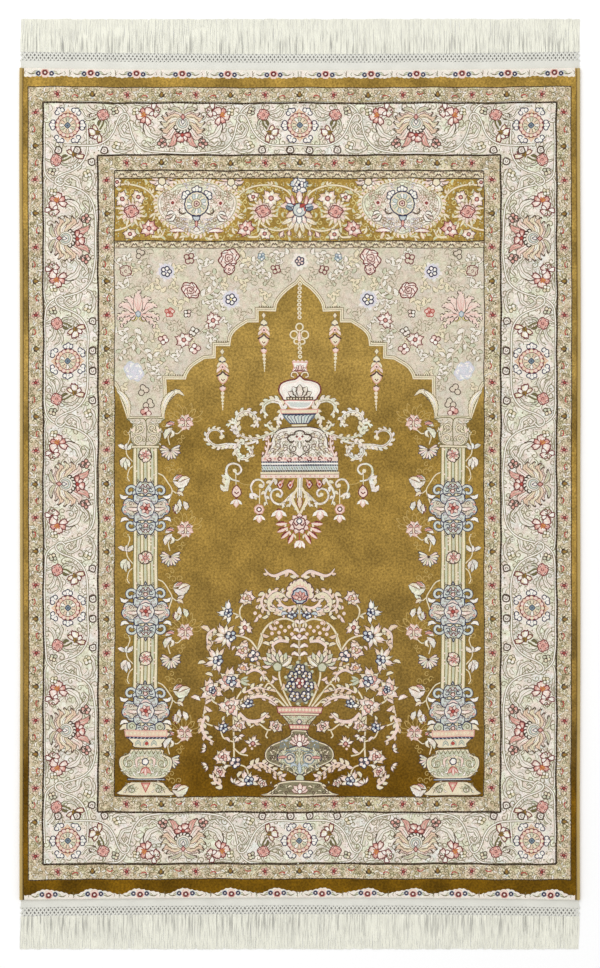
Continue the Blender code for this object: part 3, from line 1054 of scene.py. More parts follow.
def border_run(pen, length):
    """The vines and flowers from a rosette (at 0) to the next lotus head (at length) along +x."""

    def at(u, v):
        return u * length / 122 + 1j * v

    def along(*pairs):
        return [at(*pair) for pair in pairs]

    for points, width, lobes in (
        (((20, -18), (29, -13), (38, -16), (37, -22)), 2.4, 3),
        (((14, -13), (20, -7), (28, -8), (33, -12)), 2.2, 3),
        (((68, 12), (59, 10), (55, 3), (59, -3), (64, 1), (61, 4)), 2.8, 4),
        (((48, 22), (57, 26), (67, 24), (71, 19)), 2.4, 3),
        (((80, -6), (83, 3), (89, 10), (97, 12), (102, 7), (97, 3)), 4.2, 4),
        (((105, 10), (98, 15), (90, 20), (84, 16)), 2.8, 4),
        (((78, 22), (86, 23), (93, 22)), 2, 3),
        (((70, -23), (80, -21), (88, -22)), 1.8, 3),
        (((44, -2), (42, 6), (36, 12)), 2, 3),
    ):
        curled_leaf(pen, along(*points), width, lobes)
    vine(pen, along((-2, -23.2), (31, -23.4), (44, -22.8), (54, -21), (61, -14), (65, -2), (68, 9),
        (74, 19), (84, 25), (103, 27.6), (123, 28)))
    vine(pen, along((-2, 19.6), (20, 20.2), (33, 18.6), (43, 13), (49, 5), (53, -5), (57, -11), (62, -12),
        (65, -7), (62, -3)))
    vine(pen, along((57, -21), (62, -23), (80, -23.6), (98, -23.4), (123, -23.4)), 2.4)
    # the pair of flowers by the rosette
    pen.stroke(along((37, -10), (38, -3), (34, 4)), 1.8, "moss")
    pen.leaf(along((38, -7), (42, -4), (43, 1)), 2, "sage", "umber", 0.7)
    pen.leaf(along((36, -6), (33, -3), (33, 1)), 2.2, "moss", "umber", 0.6)
    rose(pen.at(at(37.5, -11)), 6, "rose", "wine", 0.9)
    wild_flower(pen.at(at(33, 6.6), 160), 10.5, 5, 136, ("cream", "snow"), "wine", None, 1.2)
    pen.fan(at(33.4, 6.2), (130, 160, 190), [-1.5, 1.6, 5], 1.9, "ochre", "umber", 0.5)
    cluster(pen.at(at(50, -15), 20), 3.6, 4, "sage", "umber", 0.9)
    for u, v in ((10, 25), (39, 24.6), (-10, 25)):
        pen.at(at(u, v), 40).blob([-3.4-1.6j, -0.6-3.6j, 2.4-2.8j, 3.8+0.4j, 1.4+2.8j, -1.6+3.2j], "pearl",
            "umber", 1.3, 1.4)
        pen.at(at(u, v), 40).stroke([-1.6-0.8j, 0.6-1.2j, 1.2+0.6j, -0.4+1j], 0.8, "taupe")
    # the flowers and long leaves beside the lotus head
    pen.stroke(along((84, -6), (80, 0), (81, 7)), 1.1, "umber")
    wild_flower(pen.at(at(82.4, -10), 200), 10, 7, 250, ("blush", "rose", "blush"), "wine", None, 1.2)
    pen.fan(at(82, -10.4), (160, 200, 240), [-1.5, 1.6, 5], 1.9, "orange", "brick", 0.5)
    wild_flower(pen.at(at(90.6, -15.4), 20), 7.4, 5, 190, ("snow", "blush"), "wine", None, 1.1)
    pen.stroke([at(96, -15) + z for z in coil(0j, 4, 150, 1.2, 0.3)], 0.9, "olive")
    cluster(pen.at(at(52, 20), 60), 3.8, 4, "cream", "moss", 0.8)
    cluster(pen.at(at(72, -14), 30), 3.4, 4, "cream", "moss", 0.8)


border_chart = []
border_pen = Pen(border_chart)
for (x0, y0, x1, y1), yarn in zip(BAND_LINES[:3], ("sand", "ivory", "sand")):
    border_pen.fill([complex(x0, y0), complex(300, y0), complex(300, y1), complex(x0, y1)], yarn)
for k, box in enumerate(((44, 104, 97, 863), (98, 104, 299, 154), (98, 813, 299, 863))):
    curls(border_pen, box, 7.2, 1, "lichen", "pearl", 20 + k, 0.85)
for k, (x0, y0, x1, y1) in enumerate((
    (29, 88, 42, 879), (100, 157, 113.6, 811), (43, 88, 299, 101), (43, 866, 299, 879),
    (114, 157, 299, 169), (114, 798, 299, 810.6),
)):
    curls(border_pen, (x0 + 1, y0, x1, y1), 4.4, 0.66, "moss", "pearl", 30 + k, 0.9)
for x, top, low in ((35.4, 94.2, 872.2), (106.4, 163, 804.2)):
    for end in (top, low):
        narrow_border(border_chart, x + 484j, x + 1j * end, 33.8)
for y, x in ((94.2, 35.4), (872.2, 35.4), (163, 106.4), (804.2, 106.4)):
    narrow_border(border_chart, AXIS + 1j * y, x + 1j * y, 34.6)
SIDE_X = 67.6
SIDE_ROSETTES = (125.3, 360.8, 608.2, 840.8)
SIDE_LOTUSES = (238.4, 484.2, 729.8)
LOTUS_X = 182.8
for lotus_y, above, below in zip(SIDE_LOTUSES, SIDE_ROSETTES, SIDE_ROSETTES[1:]):
    border_run(Pen(border_chart, SIDE_X + 1j * above, 1j, True), lotus_y - above)
    border_run(Pen(border_chart, SIDE_X + 1j * below, -1j), below - lotus_y)
for y, inward in ((SIDE_ROSETTES[0], 1), (SIDE_ROSETTES[3], -1)):
    border_run(Pen(border_chart, SIDE_X + 1j * y, 1, inward < 0), LOTUS_X - SIDE_X)
    border_run(Pen(border_chart, AXIS + 1j * y, -1, inward > 0), AXIS - LOTUS_X)
    lotus(Pen(border_chart, LOTUS_X + 1j * (y - 3 * inward), 1j * inward))
    for x in (SIDE_X, AXIS):
        big_rosette(Pen(border_chart, x + 1j * y, 1j))
for y in SIDE_LOTUSES:
    lotus(Pen(border_chart, SIDE_X - 3 + 1j * y, 1))
for y in SIDE_ROSETTES[1:3]:
    big_rosette(Pen(border_chart, SIDE_X + 1j * y, 1))
for x0, y0, x1, y1 in BAND_LINES:
    for a, b in (((x0, y0), (x0, y1)), ((x0, y0), (300.5, y0)), ((x0, y1), (300.5, y1))):
        dark_line(border_pen, complex(*a), complex(*b))
border_chart = mirrored(border_chart)
for name, box in frame_boxes("border", BAND_LINES[0], BAND_LINES[3]):
    pile_pieces.append(weave(name, border_chart, box, "ivory"))

# ---------------------------------------------------------------------------------------------
# The field's top panel: a gold band with a white cartouche in each half, roses and small flowers,
# knotted between two sand stripes with a row of dark chevrons.
# ---------------------------------------------------------------------------------------------
PANEL_LOW = 248.3


def chevron_stripe(pen, top, low):
    """A sand stripe with a zigzag of cream leaves and a dark chevron in each bay."""
    pen.fill([113 + 1j * top, 301 + 1j * top, 301 + 1j * low, 113 + 1j * low], "sand")
    middle = 1j * (top + low) / 2
    for k in range(16):
        mark = pen.at(AXIS - 12.7 * k + middle)
        mark.fill(lobed(4, 2.8, 0.5) - 0.4j, "cream")
        mark.line([-2.2+1j, -1.1-1j, 0.4j, 1.1-1j, 2.2+1j], 1.5, "umber")
        for x in (-5, 5, 6.35):
            side = 1 if x > 0 else -1
            mark.leaf([x - 1.8 + side * 1.6j, x + 0.2j, x + 1.6 - side * 1.8j], 2, "cream", "tan", 0.6)
        for x, y in ((-3.2, 1.9), (3.2, 1.9), (-6.3, -1.9), (-4.6, -2.2), (4.6, -2.2), (-8, 2.1)):
            mark.line([x - 0.8 + 1j * y, x + 0.8 + 1j * y], 0.9, "umber")
    for y in (top, low):
        dark_line(pen, 113 + 1j * y, 300.5 + 1j * y, 1.2)


def cartouche(pen):
    """The white cartouche of the panel round a blue-edged rosette."""
    outline = smooth(
        [-39.1, -38-6j, -33-11j, -25.9-13.8j, -20-18.5j, -14.7-20j, -8-21.8j,
         0.4-24j, 8-21.8j, 15.3-20j, 20.6-18.5j, 26.3-13.8j, 34-11j, 39-6j, 40.1,
         38+8j, 33.1+15j, 28+19j, 23.1+21.2j, 17+23j, 11+24j, 7+28j, 0.4+30.6j,
         -6.4+28j, -10.4+24j, -16.4+23j, -22.5+21.2j, -27.4+19j, -32.5+15j, -37.4+8j,
         -39.1],
        2,
    )[:-1]
    for n in range(0, len(outline), 2):
        ahead = outline[(n + 1) % len(outline)] - outline[n]
        out = -1j * ahead / abs(ahead)
        turn = 1 if outline[n].real > 0 else -1
        pen.leaf([outline[n], outline[n] + 2.6 * out, outline[n] + 4.6 * out + turn * 1j * out * 2], 2.6,
            ("cream", "blush", "pearl")[n // 2 % 3], "honey", 0.5)
    for by, yarn in ((1.2, "cream"), (0.2, "lichen"), (-0.4, "ivory"), (-2.6, "lichen"), (-3.1, "ivory")):
        pen.fill(grown(outline, by), yarn)
    for half in pen.halves():
        curls(half, (13, -14, 35, 17), 4, 0.62, "tan", "blush", 91, 1)
        curls(half, (1, -21, 13, -14), 4, 0.62, "tan", "lilac", 93, 1)
        curls(half, (1, 14, 20, 28), 4, 0.62, "tan", "lilac", 92, 1)
        half.stroke([33-6j, 28-8j, 26-1j, 31+2j], 0.7, "lichen")
        half.stroke([16-15j, 20-9j, 26-9j], 0.7, "lichen")
        half.stroke([14+20j, 21+15j, 28+14j], 0.7, "lichen")
        half.fill(lobed(5, 3.4, 0.8) + 24.2-1j, "blush")
        half.shape(lobed(4, 1.3, 0.4) + 24.2-1j, "brick", "wine", 0.9)
        half.leaf([21+10j, 24+15.5j, 28.5+16.5j], 3, "snow", "umber", 1)
        half.leaf([22+9.4j, 26+8.6j, 29.6+11.5j], 2.8, "snow", "umber", 1)
        half.leaf([26+14j, 29+13.4j, 31+15.6j], 2.2, "blush", "umber", 0.8)
        half.stroke([16.5+4.2j, 17.2+8j, 13.8+10.2j, 10+8.6j], 1.3, "umber")
    for angle in (-140, -90, -40):
        cup(pen.at(15.4 * np.exp(1j * math.radians(angle)) + 0.4j, angle, 0.9))
    pen.shape(lobed(16, 12.2, 0.7), "cream", "navy", 1.3)
    for k in range(16):
        ray = pen.at(0j, 22.5 * k)
        ray.leaf([3, 7, 11], 3.2, ("snow", "sage", "cream", "mist")[k % 4], "steel", 0.7)
    pen.shape(lobed(8, 5, 0.6), "cream", "tan", 0.7)
    pen.shape(lobed(3, 2.9, 0.8), "blush", "wine", 1)
    pen.fill(lobed(3, 1.2, 0.3), "wine")
    pen.shape([-4+12.5j, 4+12.5j, 3+15.6j, 18.5j, -3+15.6j], "sky", "navy", 1)
    pen.leaf([16.5j, 19j, 23.4j], 2.2, "rose", "wine", 0.8)
    pen.stroke([-3+25.5j, 22.5j, 3+25.5j], 1, "wine")


def panel_palmette(pen):
    """The left half of the large flower in the middle of the panel."""
    for reach, lean in ((20, 152), (19, 126), (18, 104)):
        pen.at(6j, lean).leaf([4, 11, reach], 4.4, "cream", "tan", 0.7, "tan")
    pen.at(0j, -172).leaf([4, 11+1.6j, 19.5], 6.2, "blush", "wine", 1)
    pen.at(0j, 148).leaf([4, 9, 15.5], 5.4, "peach", "wine", 1)
    pen.at(2j, 118).leaf([3, 8, 13.5], 5.2, "blush", "navy", 1)
    pen.at(2j, 90).leaf([3, 8, 12.5], 5, "snow", "navy", 1)
    pen.leaf([-6-4j, -10-7j, -14-12j], 4.2, "blush", "wine", 1)
    pen.leaf([-5-4j, -6.5-8j, -7.5-14j], 3.6, "rose", "wine", 1)
    pen.leaf([-6j, -11j, -18.5j], 6, "blush", "wine", 1)
    pen.at(-9, -150).leaf([-2, 2, 6], 3.6, "steel", "navy", 1.1)
    pen.leaf([-5-3j, -10-4j, -13-4.5j], 2.6, "sky", "navy", 1.1)
    pen.shape(lobed(12, 6.8, 0.6) + 0.5j, "mist", "navy", 1.1)
    pen.stroke([-5j, -4.5-2.4j, -5.4+1.6j], 1.5, "brick")
    pen.leaf([-0.8j, -3-4.4j, -6.4-5j], 2.6, "brick", "wine", 0.8)
    pen.shape(lobed(6, 2.9, 0.6) + 1.2j, "snow", "steel", 0.7)


panel_chart = []
panel_pen = Pen(panel_chart)
curls(panel_pen, (116, 180, AXIS, 240), 6.4, 0.8, "lemon", "sage", 41)
for arc in (
    run_of((113, 186), (124, 184.4), (134, 185), (145, 189), (152, 195.5), (156, 203)),
    run_of((236, 204), (238, 197), (244, 191), (254, 186.4), (266, 185), (278, 187), (288, 192),
           (293, 199)),
    run_of((113, 231), (122, 229), (130, 225), (134, 221)),
    run_of((259, 218), (262, 224), (269, 229), (278, 231), (288, 228.5), (292, 225)),
):
    panel_pen.cased(arc, 2.3, "ochre", 1.6, "cream")
for x, y, lean, reach in (
    (236, 214, 30, 9), (238, 221, 60, 9), (233, 227, 70, 8), (157, 214, 150, 9), (155, 221, 120, 9),
    (161, 227, 110, 8), (166, 187, -140, 8), (228, 187, -40, 8), (150, 194, -60, 6),
    (244, 193, -120, 6), (176, 180, -110, 5), (217, 180, -70, 5), (140, 222, 60, 9),
    (252, 224, 120, 8), (186, 237, 170, 7), (207, 237, 10, 7), (288, 222, 60, 8), (128, 186, -100, 5),
    (270, 186, -80, 5),
):
    spray = panel_pen.at(complex(x, y), lean)
    spray.leaf([0j, reach * 0.5+1.2j, reach], 2.6, "cream", "ochre", 0.6)
    spray.leaf([reach * 0.3, reach * 0.5-2j, reach * 0.8-3.4j], 1.8, "cream", "ochre", 0.5)
for x in (162, 230.5):
    hanging = panel_pen.at(x + 182j, 90)
    leaf_halo(hanging, 11.5, 10, "blush", "ochre", 3)
    wild_flower(hanging, 11, 5, 150, ("blush", "cream"), "umber", "ochre")
    hanging.shape(lobed(5, 4, 0.8), "cream", "umber", 0.9)
    for side in (-1, 1):
        hanging.leaf([side * 5j, 1 + side * 9j, -1 + side * 13j], 3, "blush", "umber", 0.8)
cartouche(panel_pen.at(196.4+203.8j))
for x in (131, 263):
    here = panel_pen.at(x + 211.3j)
    leaf_halo(here, 16.5, 17, "cream", "ochre", 2.6)
    leaf_halo(here, 12, 13, "blush", "tan", 3.2)
    rose(here, 6.8, "rose", "wine", 1.1)
for x, y, reach, petals in (
    (122, 199, 7.5, 7), (138, 197, 6.5, 6), (271.3, 198.5, 9, 8), (253.5, 197, 5.6, 5),
    (130, 234, 6.2, 6), (265, 234, 6.2, 6), (117, 182, 5, 6),
):
    wild_flower(panel_pen.at(complex(x, y), x * 7), 1.1 * reach, petals, 360, ("blush", "cream", "peach"),
        "umber", "wine", 0.7, True)
for x in (149, 246):
    wild_flower(panel_pen.at(x + 229j), 8.8, 7, 360, ("rose", "blush"), "wine", "wine", 1, True)
    panel_pen.stroke([x + 3+237j, x + 12+236.5j, x + 16+229j], 2.4, "cream", 0.8)
for side in (-1, 1):
    x = 196.5 + side * 18.5
    panel_pen.leaf([x - side * 7+231.5j, x + 230j, x + side * 9+231j], 3.6, "blush", "wine", 0.9)
    panel_pen.leaf([x + 232j, x + side * 2+236j, x + side * 3+239j], 2.8, "cream", "rose", 0.6)
bud(panel_pen.at(281+236j, -60), 1.2)
bud(panel_pen.at(289+234.5j, -80))
bud(panel_pen.at(AXIS + 236j, -90), 1.3, "cream", "ochre")
crown = panel_pen.at(AXIS + 184.8j)
wild_flower(crown, 9.4, 8, 360, ("sky", "pearl"), "navy", None, 0.9)
cluster(crown, 4.4, 5, "snow", "navy", 0.9)
panel_palmette(panel_pen.at(AXIS + 209.3j))
chevron_stripe(panel_pen, 170.8, 178.3)
chevron_stripe(panel_pen, 241.2, PANEL_LOW)
panel_chart = mirrored(panel_chart)
LEFT, TOP, RIGHT, LOW = BAND_LINES[3]
pile_pieces.append(weave("field_panel", panel_chart, (LEFT, TOP, RIGHT, PANEL_LOW)))

# ---------------------------------------------------------------------------------------------
# The niche: a stepped arch over plain gold, with pale spandrels full of scrolls and flowers above
# it, all in the same pile.
# ---------------------------------------------------------------------------------------------
ARCH = (
    run_of((AXIS, 280.5), (296.3, 284.3), (289, 289.3), (282, 296.4), (277.7, 303.6), (276.3, 311.4)),
    run_of((259, 311.4), (259, 322.9)),
    run_of((247.7, 322.9), (237.7, 329.3), (232, 336.4), (230.3, 346.4)),
    run_of((216, 346.4), (216, 358.6)),
    run_of((204.9, 359.3), (193.4, 366.4), (187.7, 373.6), (185.6, 379.3)),
    run_of((166.3, 379.3), (166.3, 398), (164, 420), (128, 420), (126.7, 418), (122.5, 406.7),
           (116, 388), (114, 385)),
)


def petal_flower(pen, radius, halo, fill, edge, eye="lemon"):
    """A small dark-edged flower inside a pale many-petalled halo."""
    leaf_halo(pen, radius * 2.1, 11, "pearl", halo, radius * 0.7)
    pen.fill(lobed(11, radius * 1.6, radius * 0.3), halo)
    for k in range(5):
        spot = 0.62 * radius * np.exp(2j * np.pi * k / 5)
        pen.shape(lobed(4, 0.44 * radius, 0.05 * radius, 3) + spot, fill, edge, 1.2)
    pen.fill(lobed(4, 0.24 * radius, 0.05 * radius, 3), eye)


def spandrel_palmette(pen):
    """The large pointed palmette of the spandrel; it points to -y."""
    for half in pen.halves():
        half.leaf([3j, 5+6j, 10+5j], 3.4, "lemon", "olive", 0.6)
        for lean, reach, width in ((32, 22, 4.6), (8, 22, 5.4), (-30, 21, 9.6), (-58, 21, 9.6)):
            frond = half.at(0j, lean)
            scroll(frond, [3, 0.55 * reach - 1.8j, reach + 0.8j], width, 8, 4.2, "blush", "umber", 0, 0.1,
                ("cream", "blush"), 1.1)
            frond.line([3, 0.66 * reach - 1.2j], 0.9, "rose", 0.4)
    scroll(pen, [-2j, -12j, -23j], 11.6, 8, 4.6, "blush", "umber", 0, 0.1, ("cream", "blush"), 1.1)
    for lean in (-106, -90, -74):
        pen.at(0j, lean).line([3, 15], 0.9, "rose", 0.4)
    pen.blob([-3j, 2.6, 3.6j, -2.6], "sky", "steel", 0.9, 1.2)


niche_chart = []
niche_pen = Pen(niche_chart)
SCROLLS = (
    (123, 258, 7, 0), (142, 257, 8, 60), (153, 289, 7, 200), (121, 283, 7, 120), (140, 286, 6, 10),
    (180, 270, 6, 300), (205, 260, 7, 30), (207, 276, 7, 190), (247, 258, 8, 80), (262, 266, 8, 220),
    (250, 275, 7, 330), (241, 286, 6, 40), (281, 260, 7, 140), (285, 276, 6, 20), (262, 296, 6, 270),
    (213, 292, 7, 100), (196, 306, 6, 340), (176, 300, 7, 160), (222, 318, 6, 60), (183, 326, 6, 210),
    (155, 331, 6, 300), (122, 338, 7, 30), (143, 345, 8, 150), (160, 352, 7, 250), (176, 352, 6, 0),
    (123, 355, 6, 110), (196, 345, 5, 80), (155, 372, 6, 20), (159, 389, 5, 190), (125, 390, 6, 260),
    (208, 338, 6, 280), (241, 311, 6, 170), (171, 372, 4, 60), (231, 327, 4, 200), (270, 281, 5, 70),
    (133, 268, 5, 180), (193, 251.5, 4, 90), (168, 254, 4, 200), (226, 284, 6, 120), (209, 306, 5, 20),
    (150, 275, 5, 100), (236, 254, 4, 10), (218, 304, 5, 240), (169, 326, 5, 40), (176, 286, 5, 90),
)
for k, (x, y, reach, lean) in enumerate(SCROLLS):
    here = niche_pen.at(complex(x, y), lean, flip=k % 2 == 0)
    scroll(here, coil(0j, reach * 1.2, 180, 0.8, 0.3), 1.5, 6, 0.8 * reach,
        ("pearl", "linen", "cream")[k % 3], "lichen" if k % 3 else "olive", 0, 0.6, (), 0.8)
for points, width, reach, count in (
    (((134, 330), (138, 344), (147, 354), (160, 357), (171, 354)), 2.6, 7, 9),
    (((137, 336), (131, 346), (122, 351), (118, 360)), 2.2, 6, 7),
    (((147, 354), (146, 366), (152, 376), (160, 380)), 2.2, 6, 7),
    (((203, 296), (211, 292), (217, 284), (214, 275), (207, 270)), 2.6, 6.6, 9),
    (((240, 268), (252, 270), (262, 276), (267, 285)), 2, 5, 8),
    (((254, 262), (262, 256), (272, 258), (278, 264)), 2, 5.4, 7),
    (((199, 334), (206, 328), (215, 331), (220, 338)), 1.8, 4.6, 6),
    (((118, 262), (130, 262), (144, 266), (154, 272)), 1.8, 4.8, 8),
):
    scroll(niche_pen, run_of(*points), width, count, reach, "linen", "olive", 0, 0.3, ("pearl", "sage"),
        0.8)
spandrel_palmette(niche_pen.at(137.6+314j, 0, 0.98))
petal_flower(niche_pen.at(166+271.4j), 5, "lilac", "snow", "navy", "lilac")
petal_flower(niche_pen.at(230.5+299.6j), 5.4, "lilac", "snow", "navy")
petal_flower(niche_pen.at(AXIS + 261j), 4.4, "pearl", "blush", "navy", "blush")
for x, y, reach, fill, width in (
    (228.6, 258.5, 9.4, "blush", 1.2), (229, 269.4, 5.6, "blush", 1.2), (190.4, 290, 8.2, "blush", 1.2),
    (189.4, 258.4, 4.4, "linen", 1.1), (275.5, 269.5, 3.8, "linen", 1.1), (134, 371.3, 9.4, "lilac", 0.7),
    (126, 271, 6, "linen", 0.9),
):
    rose(niche_pen.at(complex(x, y), 3 * x), reach, fill, "sky" if fill == "lilac" else "wine", width)
for x, y, reach, fill, edge, count in (
    (213.3, 320.6, 8.4, "blush", "wine", 7), (184, 339.5, 8.4, "blush", "wine", 6),
    (194, 331, 4.2, "pearl", "umber", 4), (195, 348.5, 4.8, "blush", "wine", 4),
    (163.6, 339.7, 4.4, "blush", "wine", 4), (187, 313, 3.6, "blush", "umber", 4),
    (143, 390, 4.6, "linen", "umber", 3), (148.3, 404, 4.6, "linen", "umber", 3),
    (140, 254, 4, "linen", "umber", 3), (145.4, 413, 5, "rose", "wine", 4),
    (169, 312.4, 4.6, "rose", "brick", 5), (261, 257, 3.6, "sky", "steel", 5),
):
    if reach > 8:
        wild_flower(niche_pen.at(complex(x, y), x * 5), reach, count + 1, 360, (fill, "pearl"), edge, edge,
            1, True)
    else:
        cluster(niche_pen.at(complex(x, y), x * 5), reach, count, fill, edge, 0.9)
niche_ground = []
Pen(niche_ground).fill(run_of((113, 248), (487, 248), (487, 425), (113, 425)), "greige")
arch = np.concatenate([smooth(run, 2) if len(run) in (4, 6) else run for run in ARCH])
gold_ground = np.concatenate((arch, run_of((113, 385), (113, 562), (AXIS, 562))))
gold_ground = np.concatenate((gold_ground, (2 * AXIS - np.conj(gold_ground))[-2:0:-1]))
arch_edges = []
for by, yarn in (
    (4.6, "linen"), (3.9, "olive"), (3.3, "cream"), (1.9, "olive"), (1.5, "cream"), (0.1, "ochre"),
    (-0.4, "gold"),
):
    Pen(arch_edges).fill(grown(gold_ground, by), yarn)
niche_ground += mirrored(niche_chart) + arch_edges
niche_chart = []
niche_pen = Pen(niche_chart)
for x0, x1, y in ((259, 276, 306.2), (216, 230, 341.2), (168, 185, 374)):
    for k in range(int((x1 - x0) / 2.3)):
        tick = np.array([0, 1.1, 1.1+1.3j, 1.3j])
        niche_pen.fill(tick + x0 + 2.3 * k + 1j * y, "olive")

# ---------------------------------------------------------------------------------------------
# The two columns with their urns, and the climbing sprays of flowers beside them, in the same pile.
# ---------------------------------------------------------------------------------------------
COLUMN = 145.4


def climbing_spray(pen):
    """A pink flower, a fan flower, lily leaves and thin curls to the right of a column."""
    for k in range(9):
        lean = math.radians(-165 + 19 * k)
        tip = (17 + 4 * (k % 2)) * np.exp(1j * lean) + 1j
        side = 1j * tip / abs(tip)
        pen.stroke([0.4 * tip, 0.72 * tip + 1.6 * side, tip - side, 0.86 * tip - 2 * side], 0.7, "honey")
    for x, y, reach, lean in ((-14, -6, 3, 0), (9, -11, 2.6, 140)):
        pen.stroke(coil(x + 1j * y, reach, lean, 0.85, 0.3), 0.75, "honey")
    stem = run_of((-14, 8), (-8, 11), (-2, 6))
    pen.stroke(stem, 1, "cream")
    pen.stroke(run_of((-14, 8), (-17, 14), (-15, 22)), 1, "cream")
    for x, y, reach, lean in ((-5, 19, 3.4, 200), (-2, 14, 2.6, 20), (-22, 2, 2.2, 0)):
        pen.stroke(coil(x + 1j * y, reach, lean, 1), 0.7, "honey")
    pen.shape(lobed(8, 7.8, 1.4, 4, 0.2), "blush", "tan", 0.8)
    for k in range(8):
        pen.at(0j, 45 * k + 20).leaf([3.6, 5.6, 8.6], 2.8, "ivory" if k % 2 else "blush", "rose", 0.6)
    for side in (-1, 1):
        pen.leaf([side * 0.8-1j, side * 3.2-3.6j, side * 5.6-1.4j], 2, "rose", "umber", 0.9)
        pen.leaf([side * 0.6+0.6j, side * 2.6+3.4j, side * 4.6+3j], 1.8, "ivory", "wine", 0.8)
    pen.leaf([-2.4j, 0.4+1j, 4.6j], 2, "cream", "wine", 0.8)
    pen.leaf([-20+4j, -16+1j, -11-0.6j], 4.4, "ivory", "umber", 0.9)
    pen.leaf([-19+1j, -14+0.4j, -11+2j], 2.2, "rose", "wine", 0.7)
    pen.leaf([-13+5j, -19+10j, -20+16j], 5.4, "ivory", "umber", 0.9)
    pen.leaf([-14+7j, -12+11j, -15+15j], 3.4, "cream", "umber", 0.7)
    fan = pen.at(-14.5+27j, 90)
    for fill, grow in (("navy", 0.4), (None, -0.25)):
        for k in range(12):
            petal = fan.at(0j, -112 + 20.4 * k, 1 - 0.1 * (k % 2))
            outline = np.array([0.5, 5+1j, 8.4+1.7j, 10.8+0.5j, 9.8-0.9j, 5-1j])
            petal.fill(grown(outline, grow), fill or ("ivory", "cream", "blush")[k % 3])
    fan.fill(lobed(3, 1.5, 0.3) + 0.6, "umber")
    pen.stroke(run_of((-28, 50), (-22, 53), (-17, 60), (-13, 68), (-16, 78), (-18, 84)), 1.1, "cream")
    pen.stroke(run_of((-13, 68), (-9, 71), (-6, 70)), 1, "cream")
    for x, y, reach, lean in (
        (-12, 50, 4, 180), (-5, 49, 3.2, 160), (-17, 47, 3, 200), (-13, 42, 2.8, 240),
        (-21, 59, 2.4, 90), (-14, 57, 2.6, 0),
    ):
        pen.stroke(coil(x + 1j * y, reach, lean, 1), 0.7, "honey")
    lily = pen.at(-4+58j)
    lily.leaf([-8+1j, 5j, 9-2j], 6.4, "ivory", "umber", 0.9)
    lily.leaf([-8, -3-3j, 3-3.4j], 4.4, "ivory", "umber", 0.8)
    lily.leaf([-3+2j, 2-2j, 8-2.6j], 3.6, "cream", "wine", 0.8)
    lily.leaf([-6-1j, -2-4j, 1-5j], 1.8, "rose", "wine", 0.6)
    pen.leaf([-6+74j, -6+70j, -1+66j], 4.2, "ivory", "umber", 0.8)
    pen.leaf([-9+71j, -5+71j, -2+74j], 3, "cream", "wine", 0.7)
    for x0, y0, x1, y1 in ((-6, 77, -9, 92), (-2, 79, 1, 88), (-10, 82, -12, 90)):
        pen.leaf([complex(x0, y0), complex((x0 + x1) / 2 + 1, (y0 + y1) / 2), complex(x1, y1)], 5.2,
            "ivory", "umber", 0.9)
    pen.stroke(run_of((-11, 83), (-12, 88), (-9, 92)), 1, "wine")


def left_spray(pen):
    """Thin stems with ivory leaves to the left of a column."""
    pen.stroke(run_of((10, 17), (2, 8), (1, 0), (4, -10), (2, -15)), 1, "cream")
    pen.stroke(run_of((10, 17), (4, 22), (2, 30), (4, 34)), 1, "cream")
    pen.stroke(coil(-15j, 3.4, 0, 1), 0.8, "honey")
    pen.stroke(coil(3+31j, 3.2, 90, 1), 0.8, "honey")
    for points, width in (
        ([2j, -4-1j, -8-2j], 4), ([2j, 4, 8-4j], 4.2), ([1+3j, 0, 1-4j], 3),
        ([1+10j, -3+14j, -3+20j], 4.4), ([1+11j, 3+15j, 4+20j], 3.8),
        ([13j, 18j, 1+23j], 3.4),
    ):
        pen.leaf(points, width, "ivory", "umber", 0.7)


